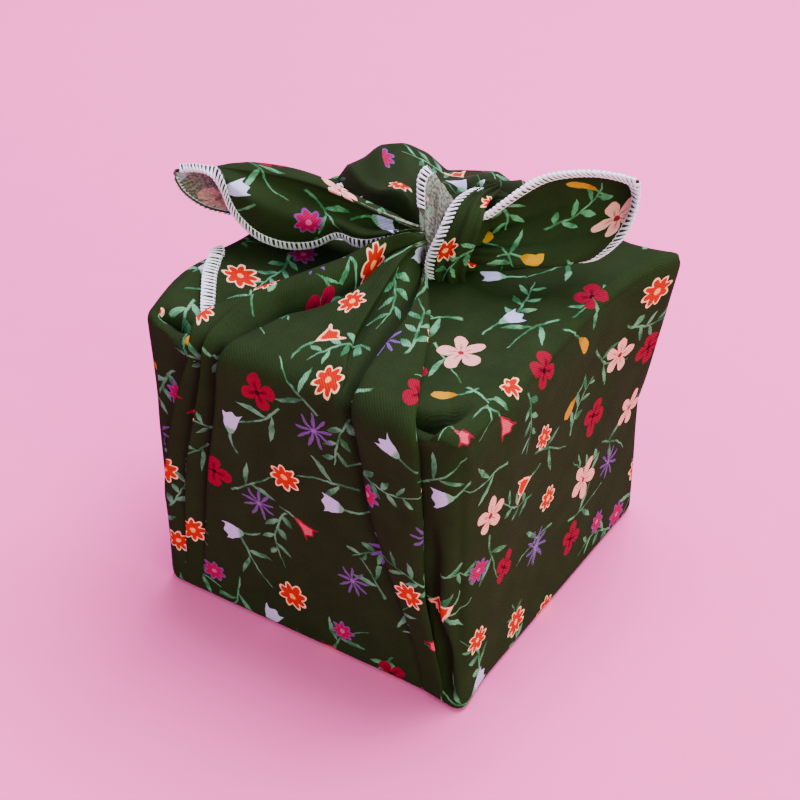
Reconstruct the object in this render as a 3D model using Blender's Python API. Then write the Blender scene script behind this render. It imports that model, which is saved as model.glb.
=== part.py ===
"""Furoshiki: one square of cotton wrapped round a box and knotted on top, the box left out.

The cloth is one closed solid in millimetres, scaled to metres at the end. Its origin is the centre of
the footprint, on the floor. +X points to the flat side that carries the cloth's first flap, -X to the
side over which that flap hangs, and -Y and +Y to the two sides whose corners are gathered and tied.
"""
import bmesh
import bpy
import numpy as np

METRE = 0.001

# --- Driving dimensions, mm ------------------------------------------------------------------------
WIDTH = 130.0            # x, side to side
DEPTH = 132.0            # y, between the two gathered sides
HEIGHT = 122.0           # floor to the flat of the top
WALL = 1.8               # thickness the cloth is built at
CORNER_RADIUS = 5.0      # upright edges
TOP_RADIUS = 4.5         # edges round the top
BOTTOM_RADIUS = 2.5      # edges round the bottom
KNOT_X = 7.0             # the knot stands over this point
KNOT_Y = 9.0
INNER_SHY = 4.0          # the tent's inside keeps this far in from its outside, sideways
INNER_TENT = 0.9         # and reaches this share of its height
KNOT_BLEND = 14.0        # width of the band over which the two gathered halves blend
LAYER = 1.2              # rise where one layer of cloth lies on another
LAYER_EDGE = 2.5         # width of the soft step at a layer's edge
TOP_SAG = 1.5            # the flat top dips this much between edge and knot
SAG_START = 6.0          # how far in from the edge the dip begins
SAG_WIDTH = 24.0         # and how far it takes to reach its depth

GATHERED_STEPS = 28      # quads along each gathered side of a ring
PLAIN_STEPS = 12         # quads along each plain side of a ring
CORNER_STEPS = 4         # quads round each upright edge
FILLET_STEPS = 3         # quads round the top and bottom edges
RISE_STEPS = 12          # quads up a side
CROWN_STEPS = 13         # quads from the top's edge to the knot
CROWN_SPREAD = 0.85      # below 1, the rings crowd towards the knot

CLOTH_COLOUR = (0.022, 0.045, 0.018, 1.0)
CLOTH_ROUGHNESS = 0.85

# --- Folds -----------------------------------------------------------------------------------------
# A gathered side and its half of the top are unrolled into one strip: `across` runs along the side
# from its middle, and `run` goes up from the floor and on over the top towards the knot.
# Columns of a fold: across, run, rise, half-width.
FRONT_FOLDS = {
    "corner_tuck": [(-63.9, 39, 0.0, 3.0), (-53.3, 91, 1.6, 3.0), (-43.0, 120, 2.2, 3.0)],
    "edge_tuck": [(-51.0, 60, 0.0, 2.5), (-46.2, 85, 1.4, 2.5), (-39.0, 118, 1.6, 2.5)],
    "upper_roll": [(-44.0, 130, 0.6, 4.0), (-39.0, 144, 2.4, 4.5), (-33.0, 157, 3.4, 4.5),
                   (-23.0, 168, 4.0, 4.0), (-8.0, 179, 3.0, 4.0)],
    "middle_fold": [(14.0, 124, 0.0, 4.0), (7.7, 138, 2.2, 4.0), (2.8, 159, 4.0, 3.6), (2.3, 178, 3.4, 3.0)],
    "strip": [(53.0, 6, 0.6, 5.0), (46.0, 40, 1.8, 5.5), (38.0, 66, 2.8, 7.0), (34.5, 112, 3.6, 8.0),
              (28.0, 140, 4.2, 6.0), (18.0, 165, 4.4, 4.0), (12.0, 180, 3.6, 3.4)],
    "front_bulge": [(61.0, 14, 0.0, 4.0), (60.0, 70, 1.6, 5.0), (56.0, 112, 2.2, 5.0)],
}
BACK_FOLDS = {
    "corner_tuck": [(-62.0, 48, 0.0, 3.0), (-55.0, 90, 1.6, 3.0), (-49.0, 120, 2.0, 3.0)],
    "left_ridge": [(-40.0, 30, 0.0, 5.0), (-33.0, 80, 1.6, 6.0), (-24.0, 124, 3.2, 5.0), (-12.0, 160, 4.0, 4.0)],
    "middle_ridge": [(-6.0, 60, 0.0, 5.0), (-3.0, 100, 1.8, 6.0), (-2.0, 126, 4.2, 5.0), (-4.0, 165, 4.0, 3.5)],
    "hump": [(44.0, 24, 0.0, 6.0), (38.0, 90, 2.2, 9.0), (34.0, 128, 5.5, 12.0), (18.0, 155, 3.0, 8.0),
             (3.0, 175, 2.0, 5.0)],
}
# Where the gathered cloth ends, left and right. Columns: across, run.
FRONT_BORDERS = (
    [(-50, 0), (-46.9, 17), (-40.9, 64), (-36, 99), (-41, 122), (-46, 132), (-43, 147), (-39.4, 160),
     (-32.3, 168.6), (-24.3, 176), (-12.4, 184), (-4, 196)],
    [(58, 0), (53.2, 23), (48.8, 51), (46.3, 65), (46.1, 96), (45, 116), (39, 132), (30.7, 151),
     (22.7, 168), (14, 181), (11, 196)],
)
BACK_BORDERS = (
    [(-60, 0), (-54, 50), (-48, 100), (-44, 124), (-38, 140), (-29, 156), (-22, 176)],
    [(62, 0), (60, 50), (60, 100), (60, 124), (47, 145), (28, 165), (16, 176)],
)
# How high the gathered cloth stands off the top. Columns: distance from the knot, height.
FRONT_TENT = [(0, 21), (10, 19), (20, 15), (32, 9), (42, 6.5), (52, 4), (64, 2), (78, 0)]
BACK_TENT = [(0, 21), (20, 20), (36, 17.5), (46, 15), (56, 12.5), (64, 10), (70, 6), (78, 1.5), (86, 0)]
FRONT_SLOPE = 5.0        # how wide the tent's sides fall away
BACK_SLOPE = 17.0
EDGE_RAMP = 9.0          # how far in from the top's edge the tent takes to rise

# The flap's hem, a V over the -X edge. Columns: x, y, z.
FLAP_HEM = [(-43, -66, 122), (-65, -18, 122), (-65, 0, 89), (-65, 18, 122), (-43, 66, 122)]
# The crease beside the near upright edge of the +X side. Columns: y, z, rise, half-width.
SIDE_CREASE = [(-58, 4, 0.0, 3.0), (-46.5, 28, 1.8, 6.0), (-37.7, 60, 2.6, 8.0), (-33.2, 102, 3.0, 8.5),
               (-32.2, 118, 2.4, 8.0)]
FLARE_REACH = (9.5, 2.5)         # x and y reach of the loose cloth at the +X, +Y corner
FLARE_START = 60.0               # height where it begins
FLARE_SPREAD = 17.0              # how far it spreads along the sides

# --- Ears: three lines each, from the knot to the tip. Columns: x, y, z ------------------------------
LEFT_EAR = {
    "front_hem": [(4, 5, 138), (-17, 0, 134), (-30, -3, 131), (-41, -9, 130.5), (-52, -15.5, 133),
                  (-63, -17, 139), (-72, -15, 145), (-84, -16, 150.5)],
    "ridge": [(6, 9, 148), (-14, 5, 150), (-28, 3, 151.5), (-42, 2.5, 153), (-54, 0, 153.5),
              (-65, -4, 153), (-76, -10, 152.5), (-85.5, -16, 151.5)],
    "back_hem": [(4, 14, 138), (-17, 14, 137), (-30, 13, 137), (-41, 9, 137), (-52, 4, 138),
                 (-63, -2, 141), (-73, -9, 145), (-84, -15, 150)],
}
RIGHT_EAR = {
    "front_hem": [(10, 12, 149), (22, 13.5, 150), (30, 19, 155.5), (37, 26, 161), (45, 33, 165.5),
                  (54, 39, 166.5), (61, 42, 166), (67, 44, 164.5)],
    "ridge": [(10, 15, 141), (24, 19, 141.5), (32, 25, 144), (40, 31, 147), (48, 36, 150.5),
              (56, 40, 154), (63, 43, 158), (68, 44.5, 163)],
    "back_hem": [(10, 8, 133), (23, 10, 130.5), (32, 13, 130), (41, 20, 130), (50, 29, 131.5),
                 (58, 36, 137), (65, 41.5, 148), (68.5, 44.5, 161.5)],
}
EAR_STEPS = 20           # quads from knot to tip
EAR_ACROSS = 6           # quads from hem to hem
EAR_BULGE = 0.22         # outward belly between ridge and hem, as a share of their distance

# --- Knot, mm ----------------------------------------------------------------------------------------
KNOT_CENTRE = (12.7, 15.3, 140.4)
KNOT_RADII = (12.0, 13.0, 15.5)
KNOT_LEAN = 20.0         # degrees it leans back, towards +Y
KNOT_FOLDS = 3.0         # folds that show across it
KNOT_FOLD_DEPTH = 0.9
KNOT_STEPS = 10          # quads from pole to pole
# The band drawn over the knot: its two edges from foot to head. Columns: x, y, z.
BAND = {
    "left": [(10.4, 2.4, 126), (9, 1.5, 137), (6, 4, 147), (1, 11, 152), (-2.5, 20, 158), (-1, 28, 154),
             (2, 33, 146)],
    "right": [(23.5, 6, 128), (26.5, 6, 138), (26.5, 8, 147), (23, 13, 153), (14.5, 22, 157.5), (11, 30, 153),
              (10, 34, 145)],
}
BAND_BELLY = 2.5
BAND_STEPS = 15
BAND_ACROSS = 4

# --- Open tucks near the top of the gathered sides, where the folds part from the top's edge ----------
# Columns: x, y, z, half-length, half-width, slope in degrees.
TUCKS = [
    (-54.0, -DEPTH / 2, 111.5, 7.5, 3.8, -38.0),
    (52.8, -DEPTH / 2, 112.0, 6.5, 3.8, 20.0),
    (53.0, DEPTH / 2, 110.5, 7.0, 3.8, 35.0),
]
TUCK_DEPTH = 16.0        # length of the cutter, through the cloth
TUCK_SIDES = 14


def ease(t):
    """A soft step: 0 below 0, 1 above 1, with level ends."""
    t = np.clip(t, 0.0, 1.0)
    return t * t * (3.0 - 2.0 * t)


def beside(u, v, line):
    """Signed distance from points (u, v) to a polyline, and its further columns at the nearest place.

    The distance is positive on the right of the line's direction of travel.
    """
    line = np.asarray(line, float)
    start, step = line[:-1], np.diff(line, axis=0)
    du = u[..., None] - start[:, 0]
    dv = v[..., None] - start[:, 1]
    length2 = step[:, 0] ** 2 + step[:, 1] ** 2
    along = np.clip((du * step[:, 0] + dv * step[:, 1]) / length2, 0.0, 1.0)
    off_u = du - along * step[:, 0]
    off_v = dv - along * step[:, 1]
    distance = np.hypot(off_u, off_v)
    nearest = distance.argmin(axis=-1)[..., None]
    take = lambda values: np.take_along_axis(values, nearest, axis=-1)[..., 0]
    side = np.where(take(off_u * step[:, 1] - off_v * step[:, 0]) >= 0.0, 1.0, -1.0)
    columns = [take(start[:, k] + along * step[:, k]) for k in range(2, line.shape[1])]
    return side * take(distance), columns


def fold_height(u, v, line):
    """A rounded ridge along a fold: its rise times a bell across its half-width."""
    distance, (rise, half_width) = beside(u, v, line)
    return rise * np.exp(-(distance / half_width) ** 2)


def gathered(across, run, folds, borders, tent, fall, from_knot, shy):
    """Height of the gathered cloth over its side and the top: one layer and its folds, and its tent.

    `shy` draws the tent's sides in, so that the inside of the cloth stays clear of the outside.
    """
    left, _ = beside(across, run, borders[0])
    right, _ = beside(across, run, borders[1])
    inside = ease(0.5 + left / LAYER_EDGE) * ease(0.5 - right / LAYER_EDGE)
    slope = ease((left + 1.0 - shy) / fall) * ease((1.0 - shy - right) / fall)
    lift = np.interp(from_knot, *np.transpose(tent)) * ease((run - HEIGHT - 1.0 - shy) / EDGE_RAMP)
    height = inside * LAYER
    for fold in folds.values():
        height = height + fold_height(across, run, fold)
    return height, lift * slope


def cloth_height(x, y, z, shy):
    """How far the cloth stands off the plain box at points on it: (folds and layers, tent)."""
    on_top = z >= HEIGHT - 0.5 * TOP_RADIUS
    from_knot = np.hypot(x - KNOT_X, y - KNOT_Y)
    total = np.zeros_like(x)
    lifted = np.zeros_like(x)
    for sign, folds, borders, tent, fall in ((-1.0, FRONT_FOLDS, FRONT_BORDERS, FRONT_TENT, FRONT_SLOPE),
                                             (1.0, BACK_FOLDS, BACK_BORDERS, BACK_TENT, BACK_SLOPE)):
        depth_in = DEPTH / 2 - sign * y
        run = np.where(on_top, HEIGHT + depth_in, z)
        mine = ease(0.5 + sign * (y - KNOT_Y) / KNOT_BLEND) * (on_top | (depth_in < CORNER_RADIUS))
        folds_part, tent_part = gathered(-sign * x, run, folds, borders, tent, fall, from_knot, shy)
        total += mine * folds_part
        lifted += mine * tent_part

    # The flap lies over the top and hangs over the -X edge as a V.
    over = np.where(on_top, -(WIDTH / 2 + x), HEIGHT - z)
    hem = np.array([(-(WIDTH / 2 + px) if pz >= HEIGHT else HEIGHT - pz, py) for px, py, pz in FLAP_HEM])
    beyond, _ = beside(over, y, hem)
    flap_here = on_top | (x < -WIDTH / 2 + CORNER_RADIUS)
    total += np.where(flap_here, LAYER * ease(0.5 - beyond / LAYER_EDGE), 0.0)

    # The crease beside the near upright edge, on the +X side.
    on_side = (x > WIDTH / 2 - CORNER_RADIUS) & ~on_top
    total += np.where(on_side, fold_height(y, z, SIDE_CREASE), 0.0)

    # The top dips a little between its edge and the knot.
    inward = np.minimum(WIDTH / 2 - np.abs(x), DEPTH / 2 - np.abs(y))
    total -= np.where(on_top, TOP_SAG * ease((inward - SAG_START) / SAG_WIDTH), 0.0)
    return total, lifted


def ring(inset):
    """Points and outward directions round the box at a given inset from its sides."""
    corners = ((1, -1, -90), (1, 1, 0), (-1, 1, 90), (-1, -1, 180))
    points, normals = [], []
    for index, (sx, sy, start) in enumerate(corners):
        centre = np.array([sx * (WIDTH / 2 - CORNER_RADIUS), sy * (DEPTH / 2 - CORNER_RADIUS)])
        for step in range(CORNER_STEPS + 1):
            angle = np.radians(start + 90.0 * step / CORNER_STEPS)
            normal = np.array([np.cos(angle), np.sin(angle)])
            points.append(centre + normal * (CORNER_RADIUS - inset))
            normals.append(normal)
        nx, ny = corners[(index + 1) % 4][:2]
        next_centre = np.array([nx * (WIDTH / 2 - CORNER_RADIUS), ny * (DEPTH / 2 - CORNER_RADIUS)])
        steps = PLAIN_STEPS if index in (0, 2) else GATHERED_STEPS
        for step in range(1, steps):
            share = step / steps
            points.append(centre + (next_centre - centre) * share + normal * (CORNER_RADIUS - inset))
            normals.append(normal)
    return np.array(points), np.array(normals)


def shell(inset, thin):
    """Vertex rings of the wrapped cloth, bottom to knot, as an array (ring, point, xyz).

    `inset` is 0 for the outside and WALL for the inside, and `thin` keeps every second point.
    """
    stride = 2 if thin else 1
    fillets = max(1, FILLET_STEPS // stride)
    rises = RISE_STEPS // stride
    crowns = CROWN_STEPS // stride
    stations = []       # (inset from the sides, height, outward part, upward part)
    for k in range(fillets + 1):
        a = np.pi / 2 * k / fillets
        stations.append((BOTTOM_RADIUS * (1 - np.sin(a)), BOTTOM_RADIUS * (1 - np.cos(a)), np.sin(a), -np.cos(a)))
    low, high = BOTTOM_RADIUS, HEIGHT - TOP_RADIUS
    for k in range(1, rises):
        stations.append((0.0, low + (high - low) * k / rises, 1.0, 0.0))
    for k in range(fillets + 1):
        a = np.pi / 2 * k / fillets
        stations.append((TOP_RADIUS * (1 - np.cos(a)), high + TOP_RADIUS * np.sin(a), np.cos(a), np.sin(a)))
    rings = []
    for depth, z, out, up in stations:
        flat, normal = ring(depth)
        rings.append(clothed(flat[::stride], z, normal[::stride] * out, up, inset))
    edge, normal = ring(TOP_RADIUS)
    knot = np.array([KNOT_X, KNOT_Y])
    for k in range(1, crowns):
        flat = edge[::stride] + (knot - edge[::stride]) * (k / crowns) ** CROWN_SPREAD
        rings.append(clothed(flat, HEIGHT, normal[::stride] * 0.0, 1.0, inset))
    return np.array(rings)


def clothed(flat, z, outward, up, inset):
    """Plain box points moved out along their normals to the surface of the cloth."""
    x, y = flat[:, 0], flat[:, 1]
    height = np.full_like(x, z)
    folds, tent = cloth_height(x, y, height, INNER_SHY if inset else 0.0)
    rise = tent + folds if inset == 0.0 else INNER_TENT * tent - inset - TOP_SAG * up ** 2
    if up < -0.5:
        rise = np.full_like(x, -inset)
    elif z < 2.0 * BOTTOM_RADIUS:
        rise = np.where(rise > 0.0, rise * ease(z / (2.0 * BOTTOM_RADIUS)), rise)
    reach = ease((z - FLARE_START) / (HEIGHT - FLARE_START))
    gap = np.hypot(x - WIDTH / 2, y - DEPTH / 2)
    flare = reach * np.exp(-(gap / FLARE_SPREAD) ** 2)
    return np.column_stack([x + outward[:, 0] * rise + FLARE_REACH[0] * flare,
                            y + outward[:, 1] * rise + FLARE_REACH[1] * flare,
                            height + up * rise])


def closed_rings(rings, pole):
    """Vertices and faces of stacked rings with a flat first end and a pole at the last."""
    count, around = rings.shape[:2]
    vertices = [tuple(p) for p in rings.reshape(-1, 3)] + [tuple(pole)]
    faces = [tuple(reversed(range(around)))]
    for i in range(count - 1):
        for j in range(around):
            k = (j + 1) % around
            faces.append((i * around + j, i * around + k, (i + 1) * around + k, (i + 1) * around + j))
    last = (count - 1) * around
    faces += [(last + j, last + (j + 1) % around, count * around) for j in range(around)]
    return vertices, faces


def pole_of(inset):
    """The point under the knot where the folds meet."""
    return KNOT_X, KNOT_Y, HEIGHT + FRONT_TENT[0][1] + LAYER - inset


def smooth_line(points, count):
    """A Catmull-Rom curve through the points, sampled evenly in its parameter."""
    p = np.asarray(points, float)
    p = np.vstack([2 * p[0] - p[1], p, 2 * p[-1] - p[-2]])
    t = np.linspace(0, len(points) - 1, count)
    i = np.minimum(t.astype(int), len(points) - 2)
    f = (t - i)[:, None]
    a, b, c, d = p[i], p[i + 1], p[i + 2], p[i + 3]
    return 0.5 * (2 * b + (c - a) * f + (2 * a - 5 * b + 4 * c - d) * f ** 2 + (3 * b - a - 3 * c + d) * f ** 3)


def ear_sheet(ear):
    """Middle surface of an ear, as an array (along, across, xyz): hem, ridge, hem with round bellies."""
    front = smooth_line(ear["front_hem"], EAR_STEPS + 1)
    ridge = smooth_line(ear["ridge"], EAR_STEPS + 1)
    back = smooth_line(ear["back_hem"], EAR_STEPS + 1)
    w = np.linspace(-1.0, 1.0, EAR_ACROSS + 1)[None, :, None]
    hem = np.where(w < 0.0, front[:, None], back[:, None])
    straight = ridge[:, None] + (hem - ridge[:, None]) * np.abs(w)
    chord = hem - ridge[:, None]
    centre = (front + back)[:, None] / 2
    away = straight - centre
    away = away - chord * (away * chord).sum(-1, keepdims=True) / ((chord ** 2).sum(-1, keepdims=True) + 1e-6)
    away /= np.linalg.norm(away, axis=-1, keepdims=True) + 1e-6
    belly = EAR_BULGE * np.linalg.norm(chord, axis=-1, keepdims=True) * np.sin(np.pi * np.abs(w))
    return straight + away * belly


def thick_sheet(middle, thickness):
    """A closed solid of a grid of points: two skins half a thickness off it, joined round the rim."""
    along = np.gradient(middle, axis=0)
    across = np.gradient(middle, axis=1)
    normal = np.cross(along, across)
    normal /= np.linalg.norm(normal, axis=-1, keepdims=True) + 1e-9
    top = middle + normal * thickness / 2
    under = middle - normal * thickness / 2
    m, n = middle.shape[:2]
    index = np.arange(m * n).reshape(m, n)
    vertices = [tuple(p) for p in np.vstack([top.reshape(-1, 3), under.reshape(-1, 3)])]
    faces = []
    for i in range(m - 1):
        for j in range(n - 1):
            a, b, c, d = index[i, j], index[i + 1, j], index[i + 1, j + 1], index[i, j + 1]
            faces.append((a, b, c, d))
            faces.append((d + m * n, c + m * n, b + m * n, a + m * n))
    rim = [*index[0, :], *index[1:, -1], *index[-1, -2::-1], *index[-2:0:-1, 0]]
    for a, b in zip(rim, rim[1:] + rim[:1]):
        faces.append((a, b, b + m * n, a + m * n))
    return vertices, [tuple(int(v) for v in face) for face in faces]


def band_sheet():
    """Middle surface of the band over the knot, as an array (along, across, xyz), bellied outwards."""
    left = smooth_line(BAND["left"], BAND_STEPS + 1)
    right = smooth_line(BAND["right"], BAND_STEPS + 1)
    w = np.linspace(0.0, 1.0, BAND_ACROSS + 1)[None, :, None]
    flat = left[:, None] + (right - left)[:, None] * w
    away = flat - np.array(KNOT_CENTRE)
    away /= np.linalg.norm(away, axis=-1, keepdims=True)
    return flat + away * BAND_BELLY * np.sin(np.pi * w)


def tuck_cutter(x, y, z, half_length, half_width, slope):
    """An elliptic bar along Y through one tuck."""
    angle = np.radians(np.arange(TUCK_SIDES) * 360.0 / TUCK_SIDES)
    tilt = np.radians(slope)
    u, v = half_length * np.cos(angle), half_width * np.sin(angle)
    px, pz = x + u * np.cos(tilt) - v * np.sin(tilt), z + u * np.sin(tilt) + v * np.cos(tilt)
    near = [(a, y - TUCK_DEPTH / 2, b) for a, b in zip(px, pz)]
    far = [(a, y + TUCK_DEPTH / 2, b) for a, b in zip(px, pz)]
    n = TUCK_SIDES
    sides = [(i, (i + 1) % n, (i + 1) % n + n, i + n) for i in range(n)]
    return near + far, [tuple(reversed(range(n))), tuple(range(n, 2 * n)), *sides]


def knot_lump():
    """The knot: an egg shape with folds across it, leaning back."""
    lats, lons = KNOT_STEPS, 2 * KNOT_STEPS
    lat = np.linspace(-np.pi / 2, np.pi / 2, lats + 1)[1:-1][:, None]
    lon = np.linspace(0, 2 * np.pi, lons, endpoint=False)[None, :]
    x = np.cos(lat) * np.cos(lon)
    y = np.cos(lat) * np.sin(lon)
    z = np.sin(lat) + 0 * lon
    swell = 1.0 - KNOT_FOLD_DEPTH / KNOT_RADII[0] * (1 - np.cos(2 * np.pi * KNOT_FOLDS * x)) / 2
    lean = np.radians(KNOT_LEAN)
    grid = np.stack([x * KNOT_RADII[0] * swell, y * KNOT_RADII[1] * swell, z * KNOT_RADII[2]], -1)
    poles = np.array([(0, 0, -KNOT_RADII[2]), (0, 0, KNOT_RADII[2])])
    px, py, pz = np.vstack([grid.reshape(-1, 3), poles]).T
    points = np.stack([px, py * np.cos(lean) + pz * np.sin(lean), pz * np.cos(lean) - py * np.sin(lean)], -1)
    vertices = [tuple(p) for p in points + np.array(KNOT_CENTRE)]
    bottom, top = len(vertices) - 2, len(vertices) - 1
    faces = []
    rows = lats - 1
    for i in range(rows - 1):
        for j in range(lons):
            k = (j + 1) % lons
            faces.append((i * lons + j, i * lons + k, (i + 1) * lons + k, (i + 1) * lons + j))
    for j in range(lons):
        k = (j + 1) % lons
        faces.append((bottom, k, j))
        faces.append(((rows - 1) * lons + j, (rows - 1) * lons + k, top))
    return vertices, faces


def solid(name, vertices, faces):
    """A new object of the given vertices, in millimetres, and faces."""
    mesh = bpy.data.meshes.new(name)
    mesh.from_pydata([tuple(c * METRE for c in v) for v in vertices], [], faces)
    mesh.update()
    made = bpy.data.objects.new(name, mesh)
    bpy.context.collection.objects.link(made)
    return made


def outward(made):
    """Turn the faces of a closed mesh outwards."""
    work = bmesh.new()
    work.from_mesh(made.data)
    bmesh.ops.recalc_face_normals(work, faces=work.faces)
    bmesh.ops.triangulate(work, faces=work.faces)
    work.to_mesh(made.data)
    work.free()


def combine(body, tool, operation):
    """Add a live EXACT Boolean to the body, and make the tool a guide."""
    modifier = body.modifiers.new(tool.name, "BOOLEAN")
    modifier.operation = operation
    modifier.solver = "EXACT"
    modifier.object = tool
    tool.hide_render = True
    tool.display_type = "WIRE"


def cloth_material():
    """Dark green cotton."""
    material = bpy.data.materials.new("green_cotton")
    material.use_nodes = True
    shader = material.node_tree.nodes["Principled BSDF"]
    shader.inputs["Base Color"].default_value = CLOTH_COLOUR
    shader.inputs["Roughness"].default_value = CLOTH_ROUGHNESS
    shader.inputs["Metallic"].default_value = 0.0
    return material


for old in list(bpy.data.objects):
    bpy.data.objects.remove(old, do_unlink=True)

cloth = solid("wrap_cloth", *closed_rings(shell(0.0, False), pole_of(0.0)))
outward(cloth)
cloth.data.materials.append(cloth_material())

hollow = solid("guide_hollow", *closed_rings(shell(WALL, True), pole_of(WALL)))
outward(hollow)
combine(cloth, hollow, "DIFFERENCE")

knot = solid("guide_knot", *knot_lump())
outward(knot)
combine(cloth, knot, "UNION")

for name, sheet in (("guide_band", band_sheet()), ("guide_left_ear", ear_sheet(LEFT_EAR)),
                    ("guide_right_ear", ear_sheet(RIGHT_EAR))):
    piece = solid(name, *thick_sheet(sheet, WALL))
    outward(piece)
    combine(cloth, piece, "UNION")

for number, tuck in enumerate(TUCKS, 1):
    cutter = solid(f"guide_tuck_{number}", *tuck_cutter(*tuck))
    outward(cutter)
    combine(cloth, cutter, "DIFFERENCE")
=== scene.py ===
"""Looks of a furoshiki: a square of printed cotton wrapped round a box and tied on top with two ears.

Every size below is in millimetres unless its comment says otherwise, and MM turns it into metres.
+X is the plain side under the first flap's fold, -X the side its point hangs over, and -Y and +Y the
two gathered sides. The origin is the centre of the footprint, on the floor.
"""

import bmesh
import bpy
import numpy as np
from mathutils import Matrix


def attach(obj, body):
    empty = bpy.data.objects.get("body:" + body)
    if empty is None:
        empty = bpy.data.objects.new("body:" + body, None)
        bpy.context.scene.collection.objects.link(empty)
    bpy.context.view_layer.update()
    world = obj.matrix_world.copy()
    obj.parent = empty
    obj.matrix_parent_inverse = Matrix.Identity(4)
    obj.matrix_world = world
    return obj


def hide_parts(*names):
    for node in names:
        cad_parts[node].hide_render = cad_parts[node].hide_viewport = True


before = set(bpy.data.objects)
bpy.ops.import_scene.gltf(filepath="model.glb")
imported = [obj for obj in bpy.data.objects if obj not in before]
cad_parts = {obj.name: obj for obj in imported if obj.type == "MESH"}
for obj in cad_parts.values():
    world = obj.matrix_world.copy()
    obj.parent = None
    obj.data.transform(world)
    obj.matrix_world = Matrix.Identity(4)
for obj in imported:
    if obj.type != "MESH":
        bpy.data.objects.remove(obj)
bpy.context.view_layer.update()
MM = 0.001

# --- Camera ----------------------------------------------------------------------------------------
# A long lens looks down on the corner between the front gathered side and the plain side, so that both
# sides, the top and the bow all show. Nothing is out of focus.
azimuth, elevation = np.radians(32.402), np.radians(38.696)
target = np.array([-7.479, 7.807, 61.0])
stand_off = 901.478
backward = np.array([np.sin(azimuth) * np.cos(elevation), -np.cos(azimuth) * np.cos(elevation),
                     np.sin(elevation)])
lens = bpy.data.cameras.new("portrait_lens")
lens.lens = 108.0
lens.sensor_width = 36.0
lens.clip_end = 20.0
camera = bpy.data.objects.new("camera", lens)
camera.location = (target + backward * stand_off) * MM
camera.rotation_euler = (np.pi / 2 - elevation, 0.0, azimuth)
bpy.context.collection.objects.link(camera)
bpy.context.scene.camera = camera

# --- Cloth round the box ----------------------------------------------------------------------------
# Plain-woven cotton printed with scattered flowers, drawn tight over the floor, the four sides and the
# top. It is held by its own folds: the first flap lies over the top, and its point hangs down the -X side.
width, depth, height = 130.0, 132.0, 122.0
upright_radius, top_radius, bottom_radius = 5.0, 4.5, 2.5
knot_x, knot_y = 7.0, 9.0
cloth_gauge = 0.5               # thickness of the cotton
grid_pitch = 1.8                # spacing of the surface's points
layer = 1.2                     # rise where the flap lies on the cloth below
top_sag = 1.5                   # the top dips this much between its edge and the knot
# The flap's hem, a V over the -X edge. Columns: distance over that edge, y. Negative is still on top.
flap_hem = [(-26, -66), (-17.5, -55), (-12.5, -46), (-8.3, -38), (-4.5, -30), (1.5, -22), (33, 0), (0, 20),
            (-22, 66)]
# Folds on the -Y side and on over the top. Columns: x, run up the side and over, rise, half-width.
front_creases = {
    "left_mouth": [(-61, 126, -1.5, 2.0), (-56, 125, -9.0, 2.6), (-50, 123, -16.0, 3.2),
                   (-42, 120.5, -18.0, 4.0)],
    "left_lip": [(-62, 122.5, 0.8, 2.0), (-56, 120.6, 2.2, 2.2), (-50, 117.4, 3.2, 2.6),
                 (-44, 114.6, 3.2, 3.0)],
    "right_mouth": [(38, 123, -17.0, 3.4), (44, 123.6, -17.0, 3.6), (49, 126.4, -14.0, 3.4),
                    (52.5, 131.5, -8.0, 3.0), (54.5, 139, -1.5, 2.6)],
    "right_lip": [(40, 117.2, 1.6, 2.6), (45, 117.2, 2.0, 2.6), (50, 119.2, 2.2, 2.6),
                  (54.4, 123.6, 2.0, 2.8), (57.6, 130, 1.4, 3.0), (59.6, 139, 0.4, 3.4)],
    "bulge": [(60, 20, 0.0, 5.0), (59, 70, 1.0, 6.0), (57, 104, 1.6, 6.0)],
    "foot_hollow": [(52, 84, 0.0, 2.4), (53, 66, -3.5, 2.6), (52.5, 50, -5.0, 2.4), (53, 40, -4.0, 2.2),
                    (56.5, 28, -6.0, 3.0), (58.5, 8, -4.5, 3.0)],
    "foot_edge": [(57.5, 78, 0.3, 3.0), (58, 62, 1.0, 2.8), (57.5, 46, 1.0, 2.6), (59.5, 36, 1.2, 2.4),
                  (62, 26, 1.2, 2.4), (63, 8, 0.6, 2.4)],
    "corner_round": [(65, 12, -0.6, 4.0), (65, 35, -2.4, 6.0), (65, 80, -2.8, 7.0), (65, 112, -2.2, 7.0)],
}
back_creases = {
    "right_mouth": [(60, 124, -1.0, 2.0), (53, 121, -6.0, 3.4), (46, 117, -6.0, 3.8)],
    "right_lip": [(60, 119, 0.8, 2.5), (52, 114, 2.0, 2.8), (46, 110, 2.0, 3.0)],
}
# Folds on the +X side. Columns: y, z, rise, half-width.
plain_side_creases = {
    "corner_crease": [(-59, 2, 0.0, 3.0), (-47, 30, 0.6, 6.0), (-38, 62, 1.0, 8.0), (-33, 102, 1.2, 9.0),
                      (-32, 118, 1.0, 9.0)],
    "corner_round": [(-66, 10, -0.5, 5.0), (-66, 35, -2.2, 7.0), (-66, 80, -2.4, 8.0), (-66, 112, -1.0, 8.0)],
    "pull_to_flare": [(20, 40, 0.0, 8.0), (42, 80, 0.9, 9.0), (58, 116, 1.2, 8.0)],
}
# Folds on the -X side. Columns: y, z, rise, half-width.
flap_side_creases = {
    "near_tuck": [(-60, 10, 0.0, 3.0), (-48, 50, 1.4, 4.0), (-30, 88, 1.8, 4.0), (-22, 104, 0.6, 4.0)],
    "far_tuck": [(60, 10, 0.0, 3.0), (48, 50, 1.4, 4.0), (30, 88, 1.8, 4.0), (22, 104, 0.6, 4.0)],
}
flare_reach = (11.8, 3.2, 2.4)  # x, y and z reach of the loose cloth at the +X, +Y corner
flare_start, flare_spread = 56.0, 17.0


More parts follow.
